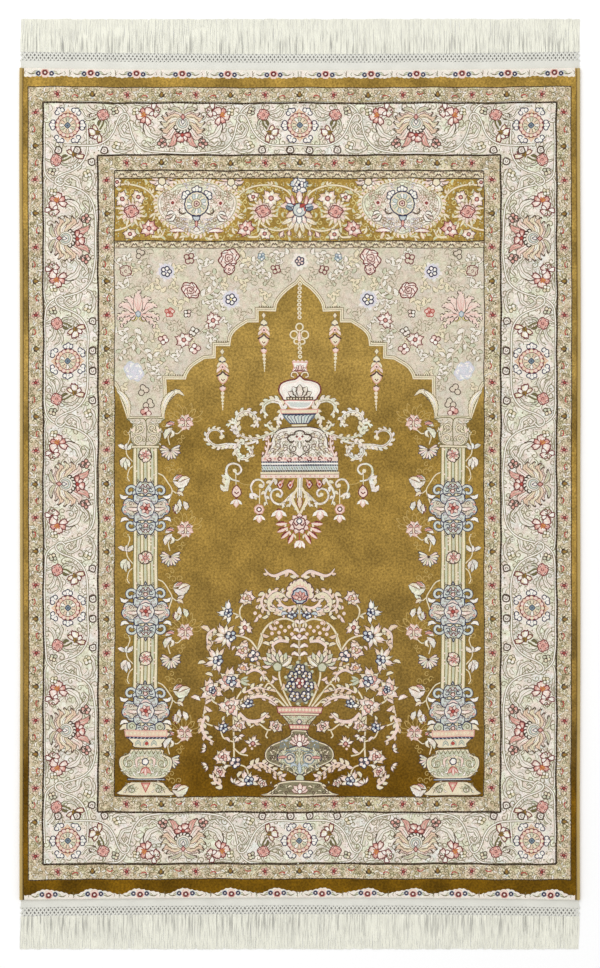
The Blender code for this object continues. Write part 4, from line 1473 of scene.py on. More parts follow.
def medallion(pen):
    """The pale knop of a column, drawn in blue lines round a red flower; y counts from its middle."""
    for half in pen.halves():
        half.shape(lobed(5, 10.6, 2, 6, 0.3) + 13.6, "mist", "navy", 1)
        half.shape(lobed(5, 8, 1.6, 6, 0.3) + 13.6, "greige", "steel", 0.8)
        curls(half, (8, -8, 22, 8), 4.6, 0.6, "taupe", "pearl", 81, 1.1)
        half.leaf([6, 12+1.4j, 19], 3.4, "blush", "umber", 0.8)
        half.fill(lobed(3, 1.2, 0) + 21-3.6j, "rose")
        half.fill(lobed(3, 1.2, 0) + 21+3.6j, "rose")
        for up in (0, 1):
            arm = half.at(0j, flip=up > 0)
            arm.cased(coil(15-17j, 6.4, 160, 1), 3.6, "navy", 2.1, "mist")
            arm.leaf([17-12j, 22-10.6j, 25.5-14j], 3.6, "snow", "umber", 0.9)
            arm.leaf([8-10j, 11-14j, 9-19j], 3.4, "mist", "navy", 0.9)
    for up in (0, 1):
        bell = pen.at(0j, flip=up > 0)
        bell.shape(
            smooth([-12-7j, -11-14j, -5-12j, 5-12j, 11-14j, 12-7j, 6-3j, -6-3j,
            -12-7j])[:-1], "mist", "navy", 1,
        )
        bell.shape(
            smooth([-9-14j, -9.5-20j, -6-26j, -2-26j, -30j, 2-26j, 6-26j, 9.5-20j,
                    9-14j, 3-15j, -12.6j, -3-15j, -9-14j], 1.3)[:-1],
            "mist", "navy", 1,
        )
        for half in bell.halves():
            curls(half, (1, -27, 8, -16), 3.4, 0.5, "umber", "sage", 82, 1.5)
            curls(half, (2, -12, 11, -5), 3.8, 0.5, "taupe", "lilac", 83, 1.3)
            half.line(coil(5.4-18.6j, 2.6, 30, 0.9, 0.3), 1, "navy")
        bell.leaf([-6-6j, -10j, 6-6j], 3, "blush", "steel", 0.7)
        bell.stroke(run_of((-5, -20.6), (-2.4, -23.6), (0, -20.6), (2.4, -23.6), (5, -20.6)), 1, "wine")
        bell.shape(lobed(3, 2, 0.5) - 17j, "blush", "wine", 0.9)
    pen.shape(lobed(8, 8.8, 1), "pearl", "navy", 0.9)
    leaf_halo(pen, 8.2, 8, "mist", "steel", 3)
    for k in range(6):
        pen.at(0j, 60 * k + 10).leaf([0.6, 3.4, 6.4], 3, "rose" if k % 2 else "blush", "wine", 1)
    pen.shape(lobed(4, 2, 0.5), "brick", "wine", 0.9)


def column(pen):
    """A column drawn about its own middle line, its y as on the chart."""
    pen.shape(bar(12.2, 446, 12.2, 735), "lemon", "moss", 0.9)
    for k in range(7):
        x = -10.4 + 3.47 * k
        pen.line([x + 446j, x + 735j], 2.3, "cream" if k % 2 == 0 else "sage")
        pen.line([x + 1.74+446j, x + 1.74+735j], 0.75, "olive")
    chance = random.Random(61)
    for k in range(80):
        y = 450 + 3.5 * k
        pen.fill(lobed(3, 0.9, 0.1, 2) + chance.choice((-8.7, -5.2, 5.2, 8.7)) + 1j * y, "blush")
    for y in (455, 557.5, 659):
        here = pen.at(1j * y, y)
        here.shape(lobed(5, 6.8, 1), "linen", "umber", 0.9)
        wild_flower(here, 7.4, 6, 360, ("blush", "cream"), "umber", "wine")
        leaf_halo(here, 5, 6, "rose", "wine", 1.6)
    for half in pen.halves():
        half.leaf(run_of((29, 390), (22, 397), (18, 406), (17, 419)), 5.8, "cream", "olive", 0.8, "lichen",
            0.8)
        half.leaf(run_of((14, 446), (5, 443), (0.5, 432)), 3, "cream", "olive", 0.6)
        cheek = smooth(run_of((19.5, 419), (13, 423), (15.5, 434), (13, 443), (6, 446.4), (0, 445),
            (0, 421), (9, 418), (19.5, 419)), 1.6)[:-1]
        half.shape(cheek, "linen", "moss", 0.9)
        curls(half, (1, 420, 15, 445), 4.2, 0.6, "lichen", "pearl", 84, 1.1)
        for spot, reach, turn in ((7+439j, 5.6, -1.2), (6.4+428j, 4.6, 1.1)):
            half.cased(coil(spot, reach, 90, turn), 2.2, "olive", 1.2, "cream")
        notched_leaf(half.at(12+434j, -100), 9, 4, "cream")
        half.fill(lobed(3, 1.5, 0.2) + 13+430j, "blush")
    pen.shape(bar(14, 445.4, 14, 447.8), "cream", "olive", 0.7)
    for y in (508, 611.5, 711):
        medallion(pen.at(1j * y))


def urn(pen):
    """The bowl, urn and foot below a column."""
    bowl = smooth(run_of((-21.5, 732), (21.5, 732), (20.5, 738), (16, 744), (15, 747.5), (-11.5, 747.5),
        (-13, 744), (-18.5, 738), (-21.5, 732)), 2)[:-1]
    for side in (-1, 1):
        pen.leaf([side * 12+738j, side * 19+727j, side * 26+730j], 6, "cream", "umber", 0.9)
        pen.shape(lobed(5, 5.2, 0.8) + side * 14+727j, "sage", "navy", 1)
        pen.stroke(coil(side * 14+727j, 3.4, 0, side * 1.1), 0.8, "olive")
    pen.shape(bowl, "cream", "umber", 0.9)
    pen.shape(run_of((-21, 730.5), (21, 730.5), (20.8, 736.6), (-20.4, 736.6)), "peach", "rose", 0.8)
    for k in range(11):
        pen.fill(lobed(3, 1.3, 0.2) - 18.5 + 3.7 * k + 733.5j, "cream")
    pen.line([-19.6+738j, 20.4+738j], 2, "navy")
    for k in range(10):
        pen.line([-17 + 3.8 * k + 739j, -15.4 + 3.8 * k + 737.4j], 0.6, "sky")
    for x in (-8, 0, 8):
        pen.leaf([x - 3+746j, x + 741.5j, x + 3+746j], 1.8, "sage", "steel", 0.6)
    pen.fill(lobed(4, 2, 0.4) + 0.6+743.4j, "brick")
    body = smooth(run_of((-15, 749.5), (16, 749.5), (18, 754), (26, 758), (26.6, 766), (22, 774),
        (14, 778.4), (-12, 778.4), (-21, 774), (-26, 766), (-25.4, 758), (-17.4, 754), (-15, 749.5)),
        2)[:-1]
    pen.shape(body, "cream", "umber", 0.8)
    pen.fill(grown(body, -1.8), "sage")
    for half in pen.halves():
        curls(half, (1, 754, 22, 775), 4.4, 0.62, "lichen", "snow", 85, 1.1)
    for k in range(7):
        x = -14 + 4.4 * k
        pen.line([x + 754j, x + 2.2+750j, x + 4.4+754j], 0.9, "olive")
    for side in (-1, 1):
        pen.stroke(coil(side * 16.6+763j, 7.6, -90, side * 1.3, 0.2), 1.1, "cream")
        pen.stroke(coil(side * 16.6+763j, 6.6, -90, side * 1.3, 0.2), 0.7, "olive")
        pen.leaf([side * 4+757j, side * 9+760j, side * 8+768j], 2.6, "blush", "olive", 0.6)
    leaf_halo(pen.at(761.6j), 7.2, 8, "cream", "tan", 3)
    pen.shape(lobed(5, 3.4, 0.7) + 761.6j, "snow", "navy", 1.1)
    pen.leaf([-5+773.5j, 769j, 5.6+773.5j], 3.4, "rose", "brick", 0.9)
    pen.leaf([768j, 772j, 776j], 2.6, "blush", "brick", 0.7)
    pen.line([-18.4+779.4j, 20+779.4j], 2, "navy")
    pen.line([-17.4+779.4j, 19+779.4j], 0.6, "sky")
    foot = smooth(run_of((-14, 782), (14.5, 782), (20, 785), (24.6, 790), (26.6, 795), (-25.6, 795),
        (-24, 790), (-19.6, 785), (-14, 782)), 2)[:-1]
    pen.shape(foot, "cream", "umber", 0.8)
    for side in (-1, 1):
        pen.fill(lobed(5, 4.6, 0.6) + side * 14+789j, "sage")
        curls(pen, (side * 14 - 8, 784, side * 14 + 8, 794), 4, 0.55, "lichen", "pearl", 86, 1.2)
        pen.stroke(coil(side * 13+789.4j, 4.4, -90, side * 1.2, 0.2), 0.8, "olive")
        pen.stroke([side * 20+793j, side * 17+787j, side * 11+784j], 0.7, "olive")
    pen.shape([-4+783j, 4.6+783j, 0.4+792j], "rose", "brick", 1)
    pen.fill(lobed(3, 1.3, 0.1) + 0.4+786j, "cream")


column_chart = []
column_pen = Pen(column_chart)
for y in (422.5, 529.5, 632):
    climbing_spray(column_pen.at(185 + 1j * y))
climbing_spray(column_pen.at(184+733j, 0, 0.96))
for y in (447, 549, 650):
    left_spray(column_pen.at(125.5 + 1j * y))
column_pen.leaf(run_of((165.8, 403), (170, 395), (177, 391), (184, 395.6)), 5.4, "cream", "umber", 0.8,
    skew=0.7)
column(column_pen.at(COLUMN))
urn(column_pen.at(COLUMN))
niche_chart += column_chart

# ---------------------------------------------------------------------------------------------
# The hanging lamp: a chain, a bulb, a bell-shaped shade with blue bands, cream leaf scrolls to both
# sides, and drops below; four more pendants hang from the steps of the arch. Same pile.
# ---------------------------------------------------------------------------------------------


def drop_chain(pen, size):
    """A hanging pendant of small flowers, which starts here and hangs down."""
    here = pen.at(0j, size=size)
    here.line([6j, 60j], 0.7, "cream")
    here.shape(np.array([-3j, 2.2, 3.4j, -2.2]) + 3j, "cream", "tan", 0.6)
    here.shape(lobed(4, 3.6, 0.8) + 11j, "cream", "olive", 0.7)
    here.stroke([-2.6+12j, 13.6j, 2.6+12j], 1.1, "navy")
    for side in (-1, 1):
        here.leaf([14j, side * 3+15j, side * 5.2+18.6j], 2.8, "cream", "ochre", 0.6)
        here.leaf([18j, side * 3.6+20j, side * 6+23.6j], 3, "blush", "ochre", 0.6)
    here.shape(lobed(4, 2.6, 0.5) + 17.6j, "blush", "rose", 0.7)
    here.fill(lobed(3, 1, 0.1) + 18j, "wine")
    here.blob([22.6j, 4.4+25j, 4+30j, 34j, -4+30j, -4.4+25j], "cream", "rose", 0.9, 1.4)
    here.stroke([-6.4+27j, -2.4+25j, 22.6j, 2.4+25j, 6.4+27j], 1.5, "umber")
    here.line([-1.6+29.6j, 31.4j, 1.6+29.6j], 1, "wine")
    here.fill(lobed(3, 1.1, 0.1) + 27.6j, "cream")
    here.shape(lobed(4, 2.8, 0.5) + 38.6j, "blush", "rose", 0.7)
    here.stroke([-2.4+37.4j, 36j, 2.4+37.4j], 1.1, "umber")
    for y, reach in ((43.4, 1.8), (47.2, 1.8), (50.8, 1.4), (53.8, 1.1), (56.6, 0.9)):
        here.fill(lobed(3, reach, 0.2) + 1j * y, "cream")


def chain(pen, start, end):
    """A row of small rings that hangs from start to end."""
    for k in range(int((end - start) / 4.15)):
        ring = 1j * (start + 4.15 * k)
        pen.shape(lobed(4, 2.5, 0.3) + ring, "cream", "ochre", 0.5)
        pen.fill(lobed(3, 0.8, 0) + ring, "ochre")


def hanging_bud(pen):
    """A small drop with a flower below it that hangs down from here."""
    pen.blob([0j, 3.6+4j, 4.4+9j, 12.6j, -4.4+9j, -3.6+4j], "blush", "wine", 1, 1.4)
    pen.line([-2.2+7j, 8.8j, 2.2+7j], 1.2, "wine")
    pen.line([-1.8+3.6j, 4.8j, 1.8+3.6j], 0.8, "rose")
    small_tulip(pen.at(13.4j))


def lamp_body(pen):
    """The lamp's bulb, neck, shade and bands, drawn about its own middle line."""
    for x in (-6, -2, 2, 6):
        pen.fill(lobed(4, 1.8, 0.3) + x + 361.6j, "blush")
    pen.shape(run_of((-7.6, 362), (7.6, 362), (6, 367), (7.6, 371.6), (-7.6, 371.6), (-6, 367)), "snow",
        "rose", 0.9)
    pen.fan(370.6j, (-150, -30, -120, -60, -90), [0j, 3, 6.6], 2.8, "blush", "wine", 0.8)
    pen.line([-6+370.4j, 6+370.4j], 0.9, "wine")
    for side in (-1, 1):
        hook = swung(side, (1, 377), (3, 372.6), (7.6, 372.4), (8.4, 376), (5.6, 377))
        pen.cased(hook, 2.4, "wine", 1.3, "cream")
    bulb = both_sides((0, 375), (4.5, 379), (12, 380.5), (19, 384), (21, 391), (18, 397), (13.6, 400.6),
        step=1.6)
    pen.shape(bulb, "pearl", "wine", 1.5)
    pen.fill(grown(bulb, -2.4), "blush")
    pen.fill(grown(bulb, -3), "snow")
    pen.fan(397j, (-158, -22, -125, -55, -90), [0j, 6, 13], 6, "ivory", "umber", 1.4)
    pen.line([-13.6+398.4j, 13.6+398.4j], 3.4, "umber")
    for k in range(9):
        pen.fill(lobed(3, 0.9, 0) - 11.6 + 2.9 * k + 398.4j, "cream")
    cup_shape = both_sides((14, 400.6), (11.6, 405.6), (7, 408.4), step=1.8)
    pen.shape(cup_shape, "snow", "rose", 0.8)
    pen.fill(grown(cup_shape, -1.8), "mist")
    pen.shape(bar(19, 409.6, 18, 413.4), "cream", "rose", 1.1)
    pen.shape(bar(17, 413.8, 9, 423.4), "mist", "navy", 1)
    for k in range(9):
        x = -14.4 + 3.6 * k
        pen.stroke([x - 1.4+415j, x + 1.2+416.6j, 0.62 * x + 423j], 0.8, "navy" if k % 2 else "steel")
    pen.line([-16.4+414.4j, 16.4+414.4j], 1.2, "navy")
    for y, half, yarn in ((425.2, 7.6, "cream"), (427.6, 8.6, "umber"), (429.4, 10, "cream")):
        pen.line([-half + 1j * y, half + 1j * y], 1.6, yarn)
    bell = run_of((9.6, 427), (18.6, 429), (24.6, 433), (28, 440), (28.6, 446), (31.6, 451), (36.4, 455),
        (38, 458.6), (38, 461))
    side_line = smooth(bell, 2)
    shade = np.concatenate((side_line, -np.conj(side_line[::-1])))
    pen.shape(shade, "pearl", "umber", 1.1)
    for half in pen.halves():
        curls(half, (2, 432, 26, 456), 4.2, 0.6, "lichen", "linen", 87, 1)
    for side in (-1, 1):
        for points in (((12, 431), (20, 433), (24, 440), (24, 448), (29, 454), (34, 457)),
                ((4, 431), (10, 436), (19, 439), (20, 447), (26, 455))):
            pen.stroke(swung(side, *points), 0.6, "taupe")
        scroll(pen, swung(side, (35, 457), (32, 449), (31, 441), (34, 436)), 2.4, 4, 4.2, "blush", "wine",
            0, 0.3)
    for x, y, reach, lean in ((14, 435, 3.6, 0), (22, 446, 3.8, 90), (15, 447, 3.8, 40), (27, 451, 3, 200),
            (8, 454, 3, 30), (20, 455, 3, 120), (21, 438, 2.6, 250)):
        for half in pen.halves():
            half.stroke(coil(x + 1j * y, reach, lean, 1.2, 0.2), 0.8, "taupe")
            half.leaf([x + 1 + 1j * y, x + 2.4 + 1j * (y + 2), x + 4.4 + 1j * (y + 1)], 1.7, "cream", "tan",
                0.5)
    for half in pen.halves():
        half.stroke([430.4j, 4+431.4j, 5.4+434.4j, 10.4+435j, 12+439j, 8.4+442j, 5.4+440.4j], 1.5, "umber")
        half.stroke(coil(6+448j, 4.6, -60, 1.2, 0.2), 0.9, "umber")
        half.stroke([10+452j, 5+453.6j, 457j], 1, "umber")
        half.fill(lobed(4, 1.3, 0.3) + 2.8+436.4j, "wine")
    pen.fill(lobed(4, 1.6, 0.3) + 438.6j, "rose")
    pen.leaf([440.6j, 445j, 449j], 2.6, "snow", "umber", 0.8)
    for y0, y1, yarn in (
        (457, 461.2, "blush"), (461.2, 462.8, "navy"), (462.8, 464.6, "snow"), (464.6, 466, "navy"),
        (466, 470.2, "mist"), (470.2, 471.8, "soot"), (471.8, 474.2, "cream"), (474.2, 478, "blush"),
    ):
        half = 38 if y1 < 472 else 39.4
        pen.fill(bar(half, y0, half, y1), yarn)
    for k in range(7):
        bloom = pen.at(-30 + 10 * k + 459.2j)
        bloom.stroke(coil(0j, 2.6, 180 * (k % 2), 0.9, 0.3), 1.1, "wine")
        bloom.fill(lobed(3, 1.3, 0.2) + 4.4-0.6j, "rose")
    for k in range(31):
        x = -37 + 2.45 * k
        for y, yarn in ((462, "sky"), (465.3, "mist"), (471, "mist")):
            pen.line([x + 1j * (y + 0.5), x + 0.7 + 1j * (y - 0.5)], 0.6, yarn)
        pen.line([x + 469.4j, x + 1.4+467j], 0.7, "steel" if k % 2 else "olive")
        pen.fill(lobed(3, 0.8, 0) + x + 476.4j, "rose" if k % 2 else "cream")
    pen.line([-39.4+474.2j, 39.4+474.2j], 0.7, "tan")


def lamp_scrolls(pen):
    """The scrolls and drops to the left of the lamp, their places as on the chart."""
    for points, width, count, reach, way, end in (
        (((283, 409), (279, 402), (271, 400.6), (264, 404.6), (264, 411), (268, 415.5)),
         5.6, 9, 5.8, -1, 0.3),
        (((285, 410), (280, 416), (278, 422), (280, 427)), 4, 6, 5.4, 0, 0.3),
        (((276, 431), (271, 429), (268, 424), (271, 420.5)), 2.6, 4, 4.4, 0, 0.3),
        (((281, 429), (268, 434.6), (256, 438), (246, 437.6), (238, 433.6), (232, 427.6)),
         3, 13, 4.6, 0, 0.6),
        (((239, 433), (235.6, 425), (238, 415.4), (246, 411.6), (254, 414.6), (257.6, 421), (254, 427)),
         3.8, 18, 5.2, 0, 0.6),
        (((236, 424), (231, 423), (228, 427.6)), 3.4, 3, 4, -1, 0.3),
        (((258, 440), (249, 443), (240, 443.6)), 3, 4, 3.4, 0, 0.4),
        (((242, 439), (236.6, 446), (236, 452.6), (240.6, 458), (247, 457.6), (252, 452.6), (250.6, 447.4),
          (245, 446.6)), 3.8, 16, 4.8, 0, 0.5),
        (((236, 444.6), (227, 444.6), (217, 446), (210, 442), (207.4, 436), (211, 430.6), (217, 429.8),
          (221.6, 433), (221.6, 438)), 3.8, 14, 4.8, 1, 0.5),
        (((239, 481), (231, 479), (226.6, 473), (227.6, 466.6), (232.6, 463.6), (239, 465), (241.4, 470),
          (237.6, 474), (234.6, 471)), 2.6, 0, 0, 0, 0.9),
        (((226, 491), (226.4, 485), (228, 479), (225.6, 473)), 5.6, 6, 7, 1, 0.5),
        (((252, 493), (250.4, 486.4), (253.6, 480.6), (259, 479.6), (263, 483), (262, 487), (259, 486.4)),
         2.6, 0, 0, 0, 0.9),
        (((249, 494), (253.6, 494.4), (258.6, 497)), 4, 3, 5, -1, 0.5),
        (((274, 478), (270, 484), (266, 490), (265, 496), (267.6, 504.6)), 3.4, 6, 5.4, 0, 0.2),
        (((297, 490), (291, 494.6), (286, 500), (280.6, 504), (274, 502), (270.6, 496), (272.6, 490.4),
          (278, 488.8), (282, 492.4), (280.6, 496.4), (277.4, 495)), 2.8, 0, 0, 0, 0.9),
        (((291, 495), (291, 501), (289, 507)), 4.4, 4, 4.6, 0, 0.3),
        (((291, 501), (294, 506), (298, 511)), 2.6, 2, 3, 0, 0.6),
        (((282, 503), (284, 507)), 3.4, 2, 3, 0, 0.5),
    ):
        scroll(pen, run_of(*points), width, count, reach, "ivory", "umber", way, end, ("ivory", "cream"),
            0.45)
        if count > 8:
            pen.stroke(run_of(*points)[1:-1], 0.5, "tan")
    for spot in run_of((234.8, 470.6), (260, 485.6), (277.6, 494.6), (221.6, 437.6)):
        pen.fill(lobed(5, 2, 0.3) + spot, "cream")
    pen.stroke(run_of((239, 482), (244, 484), (250, 484.6)), 0.8, "honey")
    for start, end in ((474, 485), (489, 504)):
        x = 235.6 if start < 480 else 259.4
        pen.line([x + 1j * start, x + 1j * end], 0.9, "cream")
    for x, y in ((279.6, 484.4), (289.8, 485)):
        pen.blob([x - 3 + 1j * y, x + 1j * (y - 4), x + 3 + 1j * y, x + 1j * (y + 4)], "blush", "wine", 1.2,
            1.4)
        pen.leaf([x + 1j * (y + 3), x + 1.6 + 1j * (y - 2), x + 4 + 1j * (y - 6)], 2, "rose")
        pen.fill(lobed(3, 1.3, 0.1) + x + 1j * y, "brick")
    hanging_bud(pen.at(236+484.6j))
    rosette = pen.at(259+509.4j)
    rosette.shape(lobed(7, 4.8, 0.9), "blush", "rose", 0.9)
    rosette.shape(lobed(4, 2.2, 0.2), "snow", "wine", 1.3)
    small_tulip(pen.at(259+514j))
    small_tulip(pen.at(278.8+508.6j), 1.3)


def small_tulip(pen, size=1):
    """A pale tulip that hangs, with dark shoulders."""
    here = pen.at(0j, size=size)
    for side in (-1, 1):
        here.stroke([0j, side * 2.4+2.2j, side * 5.4+4.4j], 1.6, "wine", 0.8)
        here.leaf([1j, side * 3+3.4j, side * 6+6j], 2.8, "snow")
    here.leaf([1j, 5j, 9j], 4.4, "blush", "rose", 0.6)


def lamp_bouquet(pen):
    """The tassel of buds below the lamp, its middle at the palmette."""
    pen.line([-46j, -24j], 5, "pearl")
    for side in (-1, 1):
        pen.line([side * 1.3-46j, side * 1.3-26j], 0.6, "lichen")
        pen.stroke([side * 2-36j, side * 7-26j, side * 3-15j, -9j], 2.4, "cream")
        for lean, reach in ((2, 22), (22, 22), (41, 22), (62, 22)):
            ray = pen.at(-1j, lean if side > 0 else 180 - lean, flip=side < 0)
            ray.line([4, reach - 7], 0.9, "brick")
            ray.leaf([reach - 9-0.4j, reach - 4-1.6j, reach + 1-1.2j], 2.6, "wine")
            ray.leaf([reach - 10, reach - 4+0.6j, reach + 2], 2.9, "blush", "brick", 0.6)
            ray.leaf([reach - 9, reach - 8+2.6j, reach - 6+4.4j], 2, "cream")
    pen.line([4j, 18j], 0.9, "brick")
    for side in (-1, 0, 1):
        pen.leaf([17j, side * 2.6+20j, side * 5+24.5j], 3.6, "snow", "rose", 0.7)
    pen.leaf([-28j, -22j, -15j], 4.6, "peach", "wine", 0.9)
    for k in range(9):
        lean = -90 + 40 * k
        pen.at(0j, lean).leaf([2, 6.6, 10.8], 5.2, "blush", "wine", 0.9)
    pen.shape(lobed(8, 6.6, 1.2), "blush", "wine", 1.2)
    pen.stroke([-5.4-1j, -3+2j, -0.4j, 3+2j, 5.4-1j], 1.3, "wine")
    pen.shape(lobed(4, 2.6, 0.4) - 2.4j, "snow", "navy", 1.1)


lamp_chart = []
lamp_pen = Pen(lamp_chart)
drop_chain(lamp_pen.at(264+312.6j), 0.98)
drop_chain(lamp_pen.at(222.4+348.6j), 1.03)
middle = lamp_pen.at(AXIS)
chain(middle, 284, 324)
for spot, reach in ((327j, 3.6), (-5.4+334.6j, 3.8), (5.4+334.6j, 3.8), (-3+341.4j, 2.4), (3+341.4j, 2.4)):
    middle.cased(coil(spot, reach, 0, 1, 1), 2.2, "ochre", 1.5, "cream")
middle.leaf([331j, 336j, 344j], 3, "blush", "ochre", 0.6)
chain(middle, 344, 362)
lamp_scrolls(lamp_pen)
lamp_body(middle)
lamp_bouquet(lamp_pen.at(AXIS + 524j))
niche_chart = niche_ground + mirrored(niche_chart + lamp_chart)
ARCH_LOW = 560
pile_pieces.append(weave("field_arch", niche_chart, (LEFT, PANEL_LOW, RIGHT, ARCH_LOW)))

# ---------------------------------------------------------------------------------------------
# The vase on its foot with a tall bunch of flowers, between the lower halves of the columns. Same
# pile, over a gold whose painted shade darkens it towards the foot.
# ---------------------------------------------------------------------------------------------


def berries(pen, places, reach=2.1):
    for place in places:
        pen.shape(lobed(4, reach, 0.2) + place, "blush", "ochre", 0.5)


def small_leaf(pen, x, y, lean, reach, fill, edge="umber"):
    pen.at(complex(x, y), lean).leaf([0j, (0.5+0.18j) * reach, reach], 0.42 * reach, fill, edge, 0.7)


def bouquet(pen):
    """The left half of the flowers, their places as on the chart."""
    stems = (
        (run_of((288, 707), (281, 696), (272, 686), (264, 676), (258, 668), (250, 664)), 1.8),
        (run_of((285, 707), (276, 699), (262, 695), (250, 696), (238, 702), (230, 709)), 1.8),
        (run_of((291, 707), (283, 690), (279, 676), (280, 666)), 1.6),
        (run_of((286, 704), (270, 684), (262, 690), (247, 684), (238, 682)), 1.4),
        (run_of((258, 650), (262, 634), (270, 624), (284, 619), (294, 622), (297, 630)), 1.8),
        (run_of((258, 650), (250, 640), (240, 636), (232, 636)), 1.6),
        (run_of((247, 600), (240, 608), (240, 616), (244, 622)), 1.4),
        (run_of((240, 616), (233, 613)), 1.2),
        (run_of((258, 650), (262, 641), (261, 633)), 1.6),
        (run_of((212, 688), (212, 700), (222, 706), (230, 708)), 1.5),
        (run_of((242, 690), (236, 700), (233, 716), (234, 740), (234, 760)), 1.5),
        (run_of((234, 742), (224, 738), (220, 730)), 1.2),
        (run_of((234, 748), (240, 754), (248, 756)), 1.3),
        (run_of((212, 726), (204, 722), (203, 714)), 1.2),
        (run_of((235, 764), (226, 766), (221, 758)), 1.2),
        (run_of((235, 764), (246, 768), (250, 780)), 1.2),
        (run_of((252, 766), (262, 764), (272, 770), (281, 777)), 1),
        (run_of((250, 728), (258, 724), (268, 730), (275, 727)), 1.3),
        (run_of((268, 731), (266, 736), (268, 738)), 1.2),
    )
    for line, width in stems:
        pen.cased(line, width + 0.8, "ochre", width, "cream")
    for x, y, lean, reach in (
        (262, 690, 200, 8), (270, 684, -60, 7), (276, 692, 190, 7), (281, 690, -70, 8), (276, 699, 160, 8),
        (262, 695, 60, 7), (252, 696, 230, 8), (247, 703, 120, 8), (238, 702, 60, 7), (264, 676, 120, 7),
        (258, 668, -100, 7), (270, 624, 60, 8), (262, 634, 20, 8), (284, 619, -120, 7), (276, 620, 100, 6),
        (294, 622, 90, 6), (240, 636, -60, 7), (247, 640, 120, 7), (253, 646, 60, 7), (258, 650, 100, 8),
        (240, 616, 150, 6), (212, 700, 150, 8), (220, 705, 60, 7), (233, 716, 30, 8), (234, 728, 160, 8),
        (233, 735, 20, 9), (240, 753, -40, 8), (230, 742, 220, 7), (224, 716, 100, 6), (204, 722, 150, 7),
        (203, 714, -80, 9), (226, 766, 220, 7), (229, 765, 130, 9), (246, 768, -30, 8), (243, 772, 130, 8),
        (268, 714, 150, 9), (275, 706, -150, 8), (213, 676, 200, 8), (220, 668, 160, 6), (238, 672, -40, 7),
        (246, 654, 100, 6), (262, 660, 200, 7), (268, 655, -80, 6), (287, 655, 20, 6), (272, 676, 30, 7),
        (282, 640, 170, 9), (270, 646, 200, 8), (254, 622, -60, 7), (262, 618, -30, 8), (236, 646, 130, 6),
        (214, 640, 120, 12), (210, 632, 210, 11), (206, 662, 170, 8), (200, 700, 200, 10),
        (206, 706, 40, 8),
    ):
        small_leaf(pen, x, y, lean, reach, ("blush", "cream", "peach")[int(x + y) % 3])
    for x, y, lean in ((252, 766, -20), (258, 764.6, 60), (262, 764, -30), (267, 766, 70), (271, 769, -20),
            (275, 772, 80), (279, 775, -10), (281, 777, 40)):
        small_leaf(pen, x, y, lean, 7.5, "blush")
    berries(pen, run_of((277, 623), (281, 627), (275, 629), (285, 631), (279, 633), (289, 627), (292, 634),
        (272, 634)))
    berries(pen, run_of((257, 607), (262, 611), (255, 613), (260, 616), (264, 606)))
    berries(pen, run_of((250, 746), (255, 746), (252, 749)), 1.5)
    for points, width, count, way in (
        (((283, 612), (275, 609), (268, 600), (272, 592), (279, 594), (278, 600)), 4, 10, 1),
        (((264, 594), (261, 601), (264, 609), (271, 612)), 3.4, 7, -1),
        (((298, 577), (290, 571.6), (282, 573.6), (275, 576), (269, 574), (264.6, 568.6)), 4.4, 4, 1),
        (((289, 642), (280, 641), (273, 646), (276, 652)), 4.2, 4, -1),
        (((243, 708), (247, 701), (256, 697), (267, 698), (277, 705)), 4, 7, 1),
        (((239, 713), (247, 721), (259, 721), (268, 713)), 4.8, 6, -1),
        (((246, 674), (254, 670), (262, 674), (264, 682)), 3.6, 5, 1),
        (((244, 693), (256, 688), (270, 691)), 2.4, 7, 0),
        (((215, 628), (208, 634), (207, 645)), 3, 6, 1),
        (((252, 766), (262, 763), (272, 769), (282, 777)), 1.6, 12, 0),
        (((205, 716), (201, 726), (206, 737), (214, 742)), 4.4, 8, 0),
        (((222, 786), (215, 780), (213, 772)), 2.8, 6, 0),
    ):
        scroll(pen, run_of(*points), width, count, 5.6, "blush", "umber", way, 0.2, ("cream", "peach"), 0.9)
    for x, y, lean, reach, petals, spread, heart in (
        (246.3, 598, 0, 8.6, 6, 360, "ochre"), (229, 612, 185, 12, 6, 170, None),
        (245, 627.6, -90, 8.4, 6, 260, "wine"), (226, 635.6, 190, 13.6, 8, 220, None),
        (243, 650, 150, 9, 6, 360, "ochre"), (218, 659.4, 190, 14, 8, 200, None),
        (243, 668, 10, 6.8, 6, 360, "orange"), (229.7, 680.4, 180, 13.6, 9, 360, None),
        (211, 690, 30, 12.6, 8, 360, "wine"), (229.7, 706.6, 60, 12, 7, 360, "umber"),
        (247.6, 706, -90, 8, 4, 160, None), (222.6, 731, -90, 11, 5, 110, None),
        (238.6, 726, 20, 7.6, 6, 360, "ochre"), (238, 736, 80, 7, 4, 150, None),
        (253, 744, -80, 8.6, 5, 150, "wine"), (276, 726, 40, 7.6, 5, 360, "umber"),
        (222.6, 757, 20, 9.4, 6, 360, "wine"), (219.8, 771.6, 50, 7.4, 5, 360, "wine"),
        (207, 749, 200, 7, 3, 90, None), (208, 765, 160, 7, 3, 90, None),
        (248.4, 783, -90, 13, 7, 190, None), (233.6, 785, -60, 8.4, 3, 80, None),
        (262, 783, 30, 5.4, 4, 360, None),
    ):
        pale = (x, y) in ((229, 612), (247.6, 706))
        fills = ("snow", "cream", "mist") if pale else ("blush", "cream", "peach")
        count = petals + 1
        wild_flower(pen.at(complex(x, y), lean), reach, count, spread, fills, "umber", heart, 0.8, True)
        if spread == 360:
            wild_flower(pen.at(complex(x, y), lean + 25), 0.56 * reach, 5, 360, ("rose", "blush"), "umber",
                heart, 0.6)
